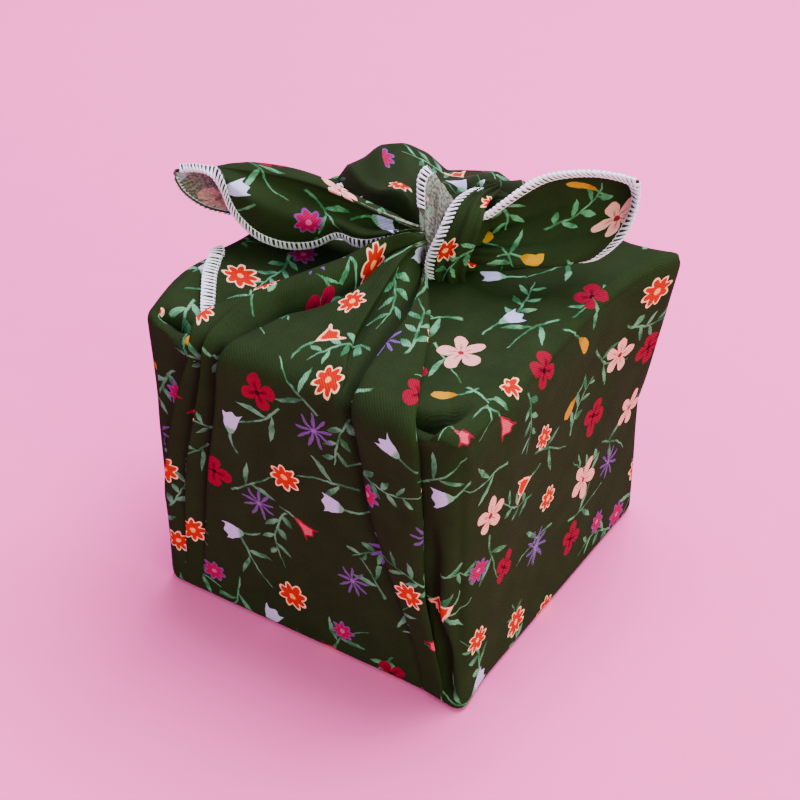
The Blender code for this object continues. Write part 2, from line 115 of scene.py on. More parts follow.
def ease(t):
    """A soft step: 0 below 0, 1 above 1, and 3t^2 - 2t^3 between."""
    t = np.clip(t, 0.0, 1.0)
    return t * t * (3.0 - 2.0 * t)


def smooth_line(points, count):
    """A Catmull-Rom curve through the points, sampled evenly in its parameter."""
    p = np.asarray(points, float)
    p = np.vstack([2 * p[0] - p[1], p, 2 * p[-1] - p[-2]])
    t = np.linspace(0, len(points) - 1, count)
    i = np.minimum(t.astype(int), len(points) - 2)
    f = (t - i)[:, None]
    a, b, c, d = p[i], p[i + 1], p[i + 2], p[i + 3]
    cubic = (2 * a - 5 * b + 4 * c - d) * f ** 2 + (3 * b - a - 3 * c + d) * f ** 3
    return 0.5 * (2 * b + (c - a) * f + cubic)


def beside(u, v, line):
    """Signed distance from points to a polyline, and the polyline's other columns at its nearest place.

    The distance is that to the nearest of its straight lengths, and positive to the right of its travel.
    """
    line = np.asarray(line, float)
    start, step = line[:-1], np.diff(line, axis=0)
    du, dv = u[..., None] - start[:, 0], v[..., None] - start[:, 1]
    along = np.clip((du * step[:, 0] + dv * step[:, 1]) / (step[:, 0] ** 2 + step[:, 1] ** 2), 0.0, 1.0)
    off_u, off_v = du - along * step[:, 0], dv - along * step[:, 1]
    distance = np.hypot(off_u, off_v)
    nearest = distance.argmin(axis=-1)[..., None]
    pick = lambda values: np.take_along_axis(values, nearest, axis=-1)[..., 0]
    side = np.where(pick(off_u * step[:, 1] - off_v * step[:, 0]) >= 0.0, 1.0, -1.0)
    return side * pick(distance), [pick(start[:, k] + along * step[:, k]) for k in range(2, line.shape[1])]


def creased(u, v, creases):
    """Height of a set of rounded creases: for each, its rise times exp(-(distance / half-width)^2)."""
    total = np.zeros_like(u)
    for crease in creases.values():
        distance, (rise, half_width) = beside(u, v, crease)
        total += rise * np.exp(-(distance / half_width) ** 2)
    return total


def rumpled(u, v, seed, amplitude, longest):
    """Soft unevenness: six plane waves of seeded direction and phase, each shorter and lower than the last.

    Wave k is 1.35^k times shorter and 1.3^k times lower than the longest one.
    """
    draw = np.random.default_rng(seed)
    total = np.zeros_like(u)
    for k in range(6):
        turn, phase = draw.uniform(0, np.pi), draw.uniform(0, 2 * np.pi)
        wave = longest / 1.35 ** k
        total += np.cos(2 * np.pi * (u * np.cos(turn) + v * np.sin(turn)) / wave + phase) / 1.3 ** k
    return amplitude * total / 3.0


def corners(grid, around=False):
    """The four corner values of every face of a grid, the last column joining the first with `around`."""
    if around:
        grid = np.concatenate([grid, grid[:, :1]], axis=1)
    return np.stack([grid[:-1, :-1], grid[:-1, 1:], grid[1:, 1:], grid[1:, :-1]], 2)


def cloth_piece(name, points, flat, materials, around=False):
    """A sheet of cloth from a grid of points; `flat` gives each face corner's place on the flat cloth.

    Rows run along the first axis, and with `around` the last column joins the first.
    """
    index = np.arange(points.shape[0] * points.shape[1]).reshape(points.shape[:2])
    mesh = bpy.data.meshes.new(name)
    faces = corners(index, around).reshape(-1, 4).tolist()
    mesh.from_pydata((points.reshape(-1, 3) * MM).tolist(), [], faces)
    mesh.uv_layers.new(name="flat_cloth").data.foreach_set("uv", (flat * MM).astype(np.float32).ravel())
    mesh.shade_smooth()
    for material in materials:
        mesh.materials.append(material)
    piece = bpy.data.objects.new(name, mesh)
    bpy.context.collection.objects.link(piece)
    wall = piece.modifiers.new("gauge", "SOLIDIFY")
    wall.thickness = cloth_gauge * MM
    wall.offset = -1.0
    wall.material_offset = len(materials) - 1
    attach(piece, "root")
    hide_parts("wrap_cloth")
    return piece


def linear(code):
    """The linear colour of an sRGB hex code such as "#33492f"."""
    c = np.array([int(code[k:k + 2], 16) for k in (1, 3, 5)]) / 255.0
    c = np.where(c <= 0.04045, c / 12.92, ((c + 0.055) / 1.055) ** 2.4)
    return (*c.tolist(), 1.0)


def add(tree, kind, inputs=(), **settings):
    """Add a node, give it its settings, and set or link its inputs, by place in a list or by key in a dict.

    A kind such as "Math.ADD" names the node's operation as well.
    """
    kind, _, operation = kind.partition(".")
    node = tree.nodes.new("ShaderNode" + kind)
    if operation:
        node.operation = operation
    for key, value in settings.items():
        setattr(node, key, value)
    for key, value in (inputs.items() if isinstance(inputs, dict) else enumerate(inputs)):
        if isinstance(value, bpy.types.NodeSocket):
            tree.links.new(value, node.inputs[key])
        else:
            node.inputs[key].default_value = value
    return node.outputs


def new_finish(name, roughness):
    """A new material at this roughness, with its node tree and its shader."""
    material = bpy.data.materials.new(name)
    material.use_nodes = True
    shader = material.node_tree.nodes["Principled BSDF"]
    shader.inputs["Roughness"].default_value = roughness
    return material, material.node_tree, shader


def two_tone(tree, where, scale, detail, dark, light):
    """A colour between two hex codes, mixed by noise of so many grains to a unit of `where`."""
    grain = add(tree, "TexNoise", {"Vector": where, "Scale": scale, "Detail": detail})["Fac"]
    return add(tree, "Mix", {0: grain, 6: linear(dark), 7: linear(light)}, data_type="RGBA")[2]


def printed_cotton(name, fade):
    """Plain-weave cotton, roller-printed on one side; `fade` is how far the print is lost on this side.

    The dye lies in the yarns, so the colour is matt with next to no gloss, and broken by the weave.
    """
    material, tree, shader = new_finish(name, 0.92)
    shader.inputs["Specular IOR Level"].default_value = 0.05

    # The flat cloth in millimetres, and the same drawn with a shaky hand for the outlines of the motifs:
    # a slow sway over 3.2 mm and a tremble over 0.9 mm. The print runs askew to the square's sides.
    cloth = add(tree, "VectorMath.MULTIPLY", [add(tree, "UVMap", uv_map="flat_cloth")[0], (1000.0,) * 3])[0]
    flat = cloth
    for scale, reach in ((0.07, 3.2), (0.33, 0.9)):
        shake = add(tree, "TexNoise", {"Vector": cloth, "Scale": scale, "Detail": 1.0},
                    noise_dimensions="2D")["Color"]
        shake = add(tree, "VectorMath.SUBTRACT", [shake, (0.5, 0.5, 0.5)])[0]
        flat = add(tree, "VectorMath.MULTIPLY_ADD", [shake, (reach, reach, 0.0), flat])[0]
    print_turn = 0.46               # radians
    flat = add(tree, "VectorRotate", {"Vector": flat, "Angle": print_turn}, rotation_type="Z_AXIS")[0]

    # Flowers: one to each cell of a loose lattice, turned by one hash and of a kind picked by another. A
    # round one has petals about its heart; a one-sided one, such as a bell, opens along its own x.
    flower_spacing, flower_scatter = 25.0, 0.54
    full_turn = 6.2832
    cell = add(tree, "TexVoronoi", voronoi_dimensions="2D", inputs={
        "Vector": flat, "Scale": 1.0 / flower_spacing, "Randomness": flower_scatter})
    hashes = add(tree, "SeparateColor", [cell["Color"]])
    local = add(tree, "VectorMath.SUBTRACT", [flat, cell["Position"]])[0]
    turn = add(tree, "Math.MULTIPLY", [hashes[0], full_turn])[0]
    turned = add(tree, "VectorRotate", {"Vector": local, "Angle": turn}, rotation_type="Z_AXIS")[0]
    # Round: share, False, petals, notch depth, petal sharpness, reach, rim, then the petal, rim and heart.
    # One-sided: share, True, half-width, closing at the mouth, flare, length, rim, and the same colours.
    kinds = [
        (0.21, False, 8, 0.34, 1.3, 5.8, 0.9, "#ac1004", "#eeae98", "#ee8c60"),
        (0.07, False, 5, 0.95, 0.55, 8.4, 0.0, "#e09494", "#e09494", "#801a2c"),
        (0.12, False, 4, 0.97, 0.34, 7.0, 0.0, "#7c0428", "#7c0428", "#240610"),
        (0.09, False, 8, 0.34, 1.5, 5.6, 0.9, "#920446", "#6a3a86", "#b84088"),
        (0.08, False, 9, 0.90, 2.8, 7.4, 0.0, "#5a3c7c", "#5a3c7c", "#76509a"),
        (0.15, True, 4.6, 0.10, 0.55, 8.5, 0.0, "#b0aae0", "#b0aae0", "#5f9078"),
        (0.14, True, 3.4, 0.45, 0.50, 8.6, 0.0, "#b07a06", "#b07a06", "#986606"),
        (0.07, True, 5.4, 0.0, 1.15, 10.5, 0.9, "#b01406", "#eca890", "#eca890"),
        (0.07, True, 4.4, 0.0, 0.95, 10.0, 0.8, "#bc3a58", "#80042c", "#982840"),
    ]
    kind_starts = np.cumsum([0.0] + [k[0] for k in kinds])[:-1]

    def by_kind(values):
        """The value for the kind that the cell's second hash picks: a stepped ramp, a step to each kind."""
        outputs = add(tree, "ValToRGB", [hashes[1]])
        ramp = outputs[0].node.color_ramp
        ramp.interpolation = "CONSTANT"
        for k, (place, value) in enumerate(zip(kind_starts, values)):
            stop = ramp.elements[k] if k < 2 else ramp.elements.new(place)
            stop.position, stop.color = place, value
        return outputs[0]

    # The measures are stored as shares of 10, 4, 20 and 2, so that they stay between 0 and 1 as colours do.
    form = add(tree, "SeparateColor", [by_kind([(k[2] / 10, k[3], k[4] / 4, 1.0) for k in kinds])])
    size = add(tree, "SeparateColor", [by_kind([(k[5] / 20, float(k[1]), k[6] / 2, 1.0) for k in kinds])])
    petal_colour = by_kind([linear(k[7]) for k in kinds])
    rim_colour = by_kind([linear(k[8]) for k in kinds])
    heart_colour = by_kind([linear(k[9]) for k in kinds])
    one_sided, flare = size[1], add(tree, "Math.MULTIPLY", [form[2], 4.0])[0]
    # No two flowers are quite alike: each is up to a tenth larger or smaller than its kind's reach.
    grown = add(tree, "Math.MULTIPLY_ADD", [hashes[2], 4.0, 18.0])[0]
    reach = add(tree, "Math.MULTIPLY", [size[0], grown])[0]
    across, aside, _ = add(tree, "SeparateXYZ", [turned])
    to_heart = add(tree, "VectorMath.LENGTH", [add(tree, "CombineXYZ", [across, aside, 0.0])[0]])["Value"]
    # Round flowers: reach shrinks between the petals by |cos(petals * angle / 2)| to the sharpness.
    angle = add(tree, "Math.ARCTAN2", [aside, across])[0]
    beat = add(tree, "Math.MULTIPLY", [angle, add(tree, "Math.MULTIPLY", [form[0], 5.0])[0]])[0]
    wave = add(tree, "Math.ABSOLUTE", [add(tree, "Math.COSINE", [beat])[0]])[0]
    petal = add(tree, "Math.POWER", [wave, flare])[0]
    gap = add(tree, "Math.MULTIPLY", [add(tree, "Math.SUBTRACT", [1.0, petal])[0], form[1]])[0]
    outline = add(tree, "Math.MULTIPLY", [add(tree, "Math.SUBTRACT", [1.0, gap])[0], reach])[0]
    in_round = add(tree, "Math.SUBTRACT", [outline, to_heart])[0]
    # One-sided flowers: half-width grows as the share of the length to the power of the flare, and closes
    # towards the mouth by its fourth power; the mouth itself is cut in lobes by a cosine.
    foot = add(tree, "Math.ADD", [across, add(tree, "Math.MULTIPLY", [reach, 0.5])[0]])[0]
    way = add(tree, "Math.DIVIDE", [foot, reach], use_clamp=True)[0]
    opening = add(tree, "Math.POWER", [way, flare])[0]
    closing = add(tree, "Math.MULTIPLY", [add(tree, "Math.POWER", [way, 4.0])[0], form[1]])[0]
    full = add(tree, "Math.MULTIPLY", [form[0], 10.0])[0]
    half = add(tree, "Math.MULTIPLY", [add(tree, "Math.SUBTRACT", [opening, closing])[0], full])[0]
    lobe = add(tree, "Math.COSINE", [add(tree, "Math.MULTIPLY", [aside, 1.25])[0]])[0]
    mouth = add(tree, "Math.MULTIPLY_ADD", [lobe, 0.7, add(tree, "Math.SUBTRACT", [reach, foot])[0]])[0]
    flank = add(tree, "Math.SUBTRACT", [half, add(tree, "Math.ABSOLUTE", [aside])[0]])[0]
    in_cup = add(tree, "Math.MINIMUM", [add(tree, "Math.MINIMUM", [flank, mouth])[0], foot])[0]
    within = add(tree, "Mix", {0: one_sided, 2: in_round, 3: in_cup}, data_type="FLOAT")[0]
    flower = add(tree, "MapRange", [within, -0.1, 0.22], interpolation_type="SMOOTHSTEP")[0]
    past_rim = add(tree, "Math.SUBTRACT", [within, add(tree, "Math.MULTIPLY", [size[2], 2.0])[0]])[0]
    petal_face = add(tree, "MapRange", [past_rim, -0.12, 0.2], interpolation_type="SMOOTHSTEP")[0]
    heart_round = add(tree, "MapRange", [to_heart, 1.3, 0.9], interpolation_type="SMOOTHSTEP")[0]
    heart_cup = add(tree, "MapRange", [foot, 3.4, 1.6], interpolation_type="SMOOTHSTEP")[0]
    heart = add(tree, "Mix", {0: one_sided, 2: heart_round, 3: heart_cup}, data_type="FLOAT")[0]
    # A streak down each petal, and the stalk behind a one-sided flower.
    ridge = add(tree, "MapRange", [petal, 0.93, 1.0], interpolation_type="SMOOTHSTEP")[0]
    streak = add(tree, "Math.MULTIPLY", [ridge, add(tree, "MapRange", [to_heart, 4.8, 2.5])[0]])[0]
    streak = add(tree, "Math.MULTIPLY", [streak, add(tree, "Math.GREATER_THAN", [form[1], 0.85])[0]])[0]
    heart = add(tree, "Math.MAXIMUM", [heart, add(tree, "Math.MULTIPLY", [streak, 0.7])[0]])[0]
    stalk_bow = add(tree, "Math.MULTIPLY", [foot, foot])[0]
    stalk_off = add(tree, "Math.MULTIPLY_ADD", [stalk_bow, 0.035, aside])[0]
    stalk = add(tree, "MapRange", [add(tree, "Math.ABSOLUTE", [stalk_off])[0], 0.6, 0.3])[0]
    stalk = add(tree, "Math.MULTIPLY", [stalk, add(tree, "MapRange", [foot, 0.4, 0.0])[0]])[0]
    stalk = add(tree, "Math.MULTIPLY", [stalk, add(tree, "MapRange", [foot, -9.5, -8.5])[0]])[0]
    stalk = add(tree, "Math.MULTIPLY", [stalk, one_sided])[0]

    # Sprigs: a bowed stem with pairs of leaves, one to each cell of a second lattice, out of step with the
    # flowers'. Along each stem sx runs from -13.6 to 13.6 mm.
    sprig_spacing, sprig_scatter = 29.0, 0.7
    moved = add(tree, "VectorMath.ADD", [flat, (211.0, 97.0, 0.0)])[0]
    sprig_cell = add(tree, "TexVoronoi", voronoi_dimensions="2D", inputs={
        "Vector": moved, "Scale": 1.0 / sprig_spacing, "Randomness": sprig_scatter})
    sprig_hash = add(tree, "SeparateColor", [sprig_cell["Color"]])
    sprig_local = add(tree, "VectorMath.SUBTRACT", [moved, sprig_cell["Position"]])[0]
    sprig_turn = add(tree, "Math.MULTIPLY", [sprig_hash[0], full_turn])[0]
    sprig = add(tree, "VectorRotate", {"Vector": sprig_local, "Angle": sprig_turn}, rotation_type="Z_AXIS")[0]
    sx, sy, _ = add(tree, "SeparateXYZ", [sprig])
    bow = add(tree, "Math.MULTIPLY", [add(tree, "Math.SUBTRACT", [sprig_hash[2], 0.5])[0], 0.06])[0]
    bowed = add(tree, "Math.MULTIPLY", [add(tree, "Math.MULTIPLY", [sx, sx])[0], bow])[0]
    off_stem = add(tree, "Math.SUBTRACT", [sy, bowed])[0]
    to_side = add(tree, "Math.ABSOLUTE", [off_stem])[0]
    stem_half = add(tree, "MapRange", [sx, -14.0, 12.0, 0.5, 0.15])[0]
    stem = add(tree, "MapRange", [add(tree, "Math.SUBTRACT", [to_side, stem_half])[0], 0.2, -0.1])[0]
    long_leaf = add(tree, "Math.GREATER_THAN", [sprig_hash[1], 0.45])[0]
    pitch = add(tree, "Math.MULTIPLY_ADD", [long_leaf, 4.2, 6.8])[0]
    side_sign = add(tree, "Math.SIGN", [off_stem])[0]
    stagger = add(tree, "Math.MULTIPLY_ADD", [side_sign, 1.4, sx])[0]
    half_pitch = add(tree, "Math.MULTIPLY", [pitch, 0.5])[0]
    lx = add(tree, "Math.WRAP", [stagger, half_pitch, add(tree, "Math.MULTIPLY", [half_pitch, -1.0])[0]])[0]
    leaf_half = add(tree, "Math.MULTIPLY_ADD", [long_leaf, 2.5, 3.4])[0]
    ly = add(tree, "Math.SUBTRACT", [to_side, add(tree, "Math.MULTIPLY", [leaf_half, 0.8])[0]])[0]
    lean_cos, lean_sin = 0.62, 0.78
    leaf_x = add(tree, "Math.MULTIPLY_ADD", [ly, lean_sin, add(tree, "Math.MULTIPLY", [lx, lean_cos])[0]])[0]
    leaf_y = add(tree, "Math.MULTIPLY_ADD", [lx, -lean_sin, add(tree, "Math.MULTIPLY", [ly, lean_cos])[0]])[0]
    part = add(tree, "Math.DIVIDE", [leaf_x, leaf_half])[0]
    belly = add(tree, "Math.SUBTRACT", [1.0, add(tree, "Math.MULTIPLY", [part, part])[0]])[0]
    tapered = add(tree, "MapRange", [sx, -12.0, 13.0, 1.5, 0.8])[0]
    leaf_in = add(tree, "Math.SUBTRACT", [add(tree, "Math.MULTIPLY", [belly, tapered])[0],
                                 add(tree, "Math.ABSOLUTE", [leaf_y])[0]])[0]
    leaf = add(tree, "MapRange", [leaf_in, -0.05, 0.25], interpolation_type="SMOOTHSTEP")[0]
    # Whole leaves only: none past the ends of the stem, nor beside its bare foot.
    pitches_along = add(tree, "Math.DIVIDE", [add(tree, "Math.ADD", [stagger, half_pitch])[0], pitch])[0]
    leaf_number = add(tree, "Math.FLOOR", [pitches_along])[0]
    from_middle = add(tree, "Math.ABSOLUTE", [add(tree, "Math.MULTIPLY", [leaf_number, pitch])[0]])[0]
    whole = add(tree, "Math.LESS_THAN", [from_middle, 10.5])[0]
    leaf = add(tree, "Math.MULTIPLY", [leaf, whole])[0]
    stem_end = add(tree, "MapRange", [add(tree, "Math.ABSOLUTE", [sx])[0], 13.6, 12.8])[0]
    green_part = add(tree, "Math.MAXIMUM", [leaf, add(tree, "Math.MULTIPLY", [stem, stem_end])[0]])[0]
    green_part = add(tree, "Math.MAXIMUM", [green_part, stalk])[0]

    # Dye: a little uneven over the cloth; leaves are brushed on, thicker in some places than in others.
    mottle = add(tree, "TexNoise", {"Vector": cloth, "Scale": 0.09, "Detail": 3.0},
                 noise_dimensions="2D")["Fac"]
    ground = add(tree, "Mix", {0: mottle, 6: linear("#182111"), 7: linear("#202c17")}, data_type="RGBA")[2]
    brushed = add(tree, "TexNoise", {"Vector": cloth, "Scale": 0.16, "Detail": 2.0},
                  noise_dimensions="2D")["Fac"]
    brushed = add(tree, "MapRange", [brushed, 0.38, 0.62])[0]
    sage = add(tree, "Mix", {0: brushed, 6: linear("#2a583e"), 7: linear("#558a6e")}, data_type="RGBA")[2]
    colour = add(tree, "Mix", {0: green_part, 6: ground, 7: sage}, data_type="RGBA")[2]
    blossom = add(tree, "Mix", {0: petal_face, 6: rim_colour, 7: petal_colour}, data_type="RGBA")[2]
    blossom = add(tree, "Mix", {0: heart, 6: blossom, 7: heart_colour}, data_type="RGBA")[2]
    colour = add(tree, "Mix", {0: flower, 6: colour, 7: blossom}, data_type="RGBA")[2]

    # Weave: the yarns run at 45 degrees to the box, 0.45 mm apart, drawn as a line every 0.85 mm so that it
    # shows. Print sits on the tops of the yarns, so the dark ground shows between them through a motif. On
    # all the cloth the line is also painted shade in the gaps and painted light on the yarns' tops, 0.05 of
    # the colour.
    line_turns = 5.23               # radians of the drawn line to a millimetre of u + v
    u, v, _ = add(tree, "SeparateXYZ", [cloth])
    diagonal = add(tree, "Math.MULTIPLY", [add(tree, "Math.ADD", [u, v])[0], line_turns])[0]
    hatch = add(tree, "Math.SINE", [diagonal])[0]
    printed_part = add(tree, "Math.MAXIMUM", [green_part, flower])[0]
    # Gaps between the yarns darker and yarn tops lighter: 0.05 everywhere is painted shade and painted light,
    # and 0.13 more where a motif lets the dark ground show through
    ground_show_and_painted_gap_shade = add(tree, "Math.MULTIPLY_ADD", [printed_part, 0.13, 0.05])[0]
    fibre = add(tree, "TexNoise", {"Vector": cloth, "Scale": 1.1, "Detail": 2.0},
                noise_dimensions="2D")["Fac"]
    shade = add(tree, "Math.MULTIPLY_ADD", [fibre, 0.3, 0.85])[0]
    shade = add(tree, "Math.MULTIPLY_ADD", [hatch, ground_show_and_painted_gap_shade, shade])[0]
    colour = add(tree, "VectorMath.SCALE", {0: colour, "Scale": shade})[0]
    if fade:
        # The dye only reaches the wrong side between the yarns, so it shows there in specks.
        specks = add(tree, "TexNoise", {"Vector": cloth, "Scale": 0.9, "Detail": 1.0},
                     noise_dimensions="2D")["Fac"]
        specks = add(tree, "MapRange", [specks, 0.4, 0.6, fade - 0.34, fade + 0.2])[0]
        colour = add(tree, "Mix", {0: specks, 6: colour, 7: linear("#85837c")}, data_type="RGBA")[2]
    tree.links.new(colour, shader.inputs["Base Color"])
    bump = add(tree, "Bump", {"Strength": 0.2, "Distance": 0.0002, "Height": hatch})[0]
    tree.links.new(bump, shader.inputs["Normal"])
    return material


printed = printed_cotton("printed_cotton", fade=0.0)
wrong_side = printed_cotton("cotton_wrong_side", fade=0.62)


def rounded_rings():
    """Points and normals of the plain box, from the middle of the floor, up the sides, to that of the top.

    Each ring is the box's rounded outline, drawn in by an inset at the floor's and the top's edge and scaled
    to a share of its size on the floor and the top.
    """
    centres = np.array([(1, -1), (1, 1), (-1, 1), (-1, -1)]) * (width / 2, depth / 2)
    centres = centres - np.sign(centres) * upright_radius
    outline, facing = [], []
    for k, start in enumerate((-90, 0, 90, 180)):
        angle = np.radians(start + np.linspace(0, 90, 7))
        turn = np.column_stack([np.cos(angle), np.sin(angle)])
        outline.append(centres[k] + turn * upright_radius)
        facing.append(turn)
        ahead = centres[(k + 1) % 4] - centres[k]
        steps = int(np.hypot(*ahead) / grid_pitch)
        share = np.arange(1, steps)[:, None] / steps
        outline.append(centres[k] + ahead * share + turn[-1] * upright_radius)
        facing.append(np.repeat(turn[-1:], steps - 1, axis=0))
    outline, facing = np.vstack(outline), np.vstack(facing)
    # The rings are closest where the folds are finest, near the top's edge. Columns: share of the outline's
    # size, inset, height, and how far the normal points out and up.
    brow_start, brow_share = 100, 0.72
    rings = []
    for t in np.linspace(0.02, 1, 14)[:-1]:
        rings.append((t, bottom_radius, 0.0, 0.0, -1.0))
    for a in np.radians(np.linspace(0, 90, 4)):
        inset, z = bottom_radius * (1 - np.sin(a)), bottom_radius * (1 - np.cos(a))
        rings.append((1, inset, z, np.sin(a), -np.cos(a)))
    for z in np.append(np.linspace(bottom_radius, brow_start, 44)[1:],
                       np.linspace(brow_start, height - top_radius, 19)[1:-1]):
        rings.append((1, 0.0, z, 1.0, 0.0))
    for a in np.radians(np.linspace(0, 90, 8)):
        inset, z = top_radius * (1 - np.cos(a)), height - top_radius * (1 - np.sin(a))
        rings.append((1, inset, z, np.cos(a), np.sin(a)))
    for t in np.append(np.linspace(1, brow_share, 19)[1:], np.linspace(brow_share, 0.02, 24)[1:]):
        rings.append((t, top_radius, height, 0.0, 1.0))
    share, inset, z, out, up = np.array(rings).T[:, :, None]
    x = share * (outline[:, 0] - facing[:, 0] * inset)
    y = share * (outline[:, 1] - facing[:, 1] * inset)
    points = np.stack([x, y, z + 0 * x], -1)
    normals = np.stack([out * facing[:, 0], out * facing[:, 1], up + 0 * x], -1)
    return points, normals


def slackened(points):
    """Where the cloth stands off the box: each place moves by so many mm times exp(-(distance / spread)^2).

    The -X edge of the top is puffed out round y = -40, with a spread of 26 along it and 19 across. The -X, -Y
    corner stands out 1 mm above a height of 25. The foot of the +X, -Y corner bulges, where the folds are
    thick, with a spread of 11 round the corner and 16 up it. The top's -X, +Y corner is sunk.
    """
    x, y, z = points[..., :1], points[..., 1:2], points[..., 2:]
    from_edge = np.hypot(x + width / 2, z - height)
    puff = np.exp(-((y + 40.0) / 26.0) ** 2 - (from_edge / 19.0) ** 2)
    foot = np.exp(-((x - width / 2) ** 2 + (y + depth / 2) ** 2) / 11.0 ** 2 - (z / 16.0) ** 2)
    corner = np.exp(-((x + width / 2) ** 2 + (y + depth / 2) ** 2) / 16.0 ** 2) * ease((z - 25.0) / 50.0)
    sunk = np.exp(-((x + width / 2) ** 2 + (y - depth / 2) ** 2 + (z - height) ** 2) / 15.0 ** 2)
    return (points + np.array([-4.6, 0.0, 5.2]) * puff + np.array([-1.0, 0.0, 0.0]) * corner
            + np.array([2.2, -2.6, 0.0]) * foot + np.array([4.0, -4.0, -5.0]) * sunk)


box, outward = rounded_rings()
x, y, z = np.moveaxis(box, -1, 0)
on_top = z >= height - 0.5 * top_radius
inward = np.minimum(width / 2 - np.abs(x), depth / 2 - np.abs(y))
rise = np.where(on_top, -top_sag * ease((inward - 6.0) / 24.0), 0.0)
over_edge = np.where(on_top, -(width / 2 + x), height - z)
past_hem, _ = beside(over_edge, y, flap_hem)
flap_may_reach = on_top | (x < -width / 2 + upright_radius)
under_flap = flap_may_reach & (past_hem > -0.8)
rise += np.where(flap_may_reach, layer * ease((0.2 - past_hem) / 1.4), 0.0)
front_run = np.where(on_top, height + depth / 2 + y, z)
back_run = np.where(on_top, height + depth / 2 - y, z)
# How squarely each point faces +X and +Y, so that a side's folds die away round its upright corners.
level_part = np.hypot(outward[..., :1], outward[..., 1:2]) + 1e-9
faces_x, faces_y = np.moveaxis(outward[..., :2] / level_part, -1, 0)
rise += np.where(on_top, 1.0, np.clip(-faces_y, 0.0, 1.0)) * creased(x, front_run, front_creases)
rise += np.where(on_top, 1.0, np.clip(faces_y, 0.0, 1.0)) * creased(x, back_run, back_creases)
rise += np.where(on_top, 0.0, np.clip(faces_x, 0.0, 1.0)) * creased(y, z, plain_side_creases)
rise += np.where(on_top, 0.0, np.clip(-faces_x, 0.0, 1.0)) * creased(y, z, flap_side_creases)
rise += rumpled(x + y, z, seed=3, amplitude=0.35, longest=90.0) * ease(z / 20.0)
rise *= np.where(z < 4.0, ease(z / 4.0), 1.0)
flare = np.clip((z - flare_start) / (height - flare_start), 0.0, 1.0) ** 0.8
flare *= np.exp(-(np.hypot(x - width / 2, y - depth / 2) / flare_spread) ** 1.5)

# The gathers lie over the two sides; under them this cloth keeps back, 5 mm under the front one's folds.
front_left = [(-60, 0), (-60, 30), (-58, 45), (-49, 92), (-40, 117), (-40, 130), (-34, 152), (-24, 166),
              (-4, 180)]
front_right = [(56, 0), (54, 26), (51, 47), (48.5, 60), (48, 80), (47, 100), (46, 116), (40, 128),
               (33.5, 141), (26, 155), (12, 178)]
left, _ = beside(x, front_run, front_left)
right, _ = beside(x, front_run, front_right)
covered = ease(left / 3.0) * ease(-right / 3.0) * (on_top | (y < -depth / 2 + upright_radius)) * (y < 0)
rise -= (1.6 + 3.4 * ease(left / 7.0) * ease(-right / 7.0)) * covered * ease(z / 14.0)
left, _ = beside(-x, back_run, [(-56, 0), (-50, 50), (-44, 100), (-40, 124), (-30, 145), (-14, 170)])
right, _ = beside(-x, back_run, [(58, 0), (56, 60), (56, 124), (40, 147), (14, 172)])
covered = ease(left / 3.0) * ease(-right / 3.0) * (on_top | (y > depth / 2 - upright_radius)) * (y > 0)
rise -= 1.6 * covered * ease(z / 6.0)
body = box + outward * rise[..., None]
body += np.array(flare_reach) * flare[..., None]
# The +X edge of the top turns over softly, by 1.8 mm, and the top is drawn up 6 mm under the knot.
from_edge = (width / 2 - x) ** 2 + (height - z) ** 2
body += np.array([-1.8, 0.0, -1.8]) * (np.exp(-from_edge / 9.0 ** 2) * (1.0 - flare))[..., None]
body[..., 2] += 6.0 * np.exp(-((x - 13.0) ** 2 + (y - 7.0) ** 2) / 17.0 ** 2) * (z > height - 1.0)
body = slackened(body)

# Flat cloth: round the sides and up them, on over the +X edge to lie along the top, and under the floor.
side_ring, side_column = 40, 40     # any ring round the sides, and a column of points up the +X side
first_side_ring = 16                # where the floor's rounded edge ends
steps = np.linalg.norm(np.diff(box[side_ring], axis=0, append=box[side_ring, :1]), axis=1)
round_box = np.concatenate([[0.0], np.cumsum(steps)])
climb = np.linalg.norm(np.diff(box[:, side_column], axis=0), axis=1)
up_box = np.concatenate([[0.0], np.cumsum(climb)])
up_box -= up_box[first_side_ring]
wide = lambda grid: np.hstack([grid, grid[:, :1]])
on_sides = np.stack(np.broadcast_arrays(round_box[None, :], up_box[:, None]), -1)
fold_over = (np.pi / 2 - 2) * top_radius
on_the_top = np.stack([wide(y) + depth / 2 + (np.pi / 2 - 1) * upright_radius,
                       height + fold_over + width / 2 - wide(x)], -1)
floor_shift, under_flap_shift = (300.0, -200.0), (57.0, 83.0)      # other places of the same print
below = np.stack([wide(x) + floor_shift[0], wide(y) + floor_shift[1]], -1)
top_rows = (box[1:, 0, 2] >= height - 0.01) & (box[:-1, 0, 2] >= height - 0.01)
floor_rows = box[1:, 0, 2] < 0.01
# The length round the box starts again half-way along the hidden -X side.
flat_sides = corners(on_sides)
halfway = int(np.argmin(np.hypot(x[side_ring] + width / 2, y[side_ring])))
flat_sides[:, halfway:, :, 0] -= round_box[-1]
flat_body = np.where(top_rows[:, None, None, None], corners(on_the_top), flat_sides)
flat_body = np.where(floor_rows[:, None, None, None], corners(below), flat_body)
hidden = corners(wide(under_flap)).all(axis=2)
flat_body = flat_body + np.where(hidden[..., None, None], under_flap_shift, 0.0)
wrapped = cloth_piece("cloth_round_box", body, flat_body, [printed, wrong_side], around=True)

# --- Overlocked edge --------------------------------------------------------------------------------
# The cut edge of the square is overlocked all round in white polyester thread: stitches side by side over
# the raw edge, chained along it by the looper and held down by the needle's line further in.
stitch_pitch, stitch_reach = 1.7, 3.8      # along the edge, and in from it
bar_thick = 0.24                            # each stitch shows as a flat bundle of threads
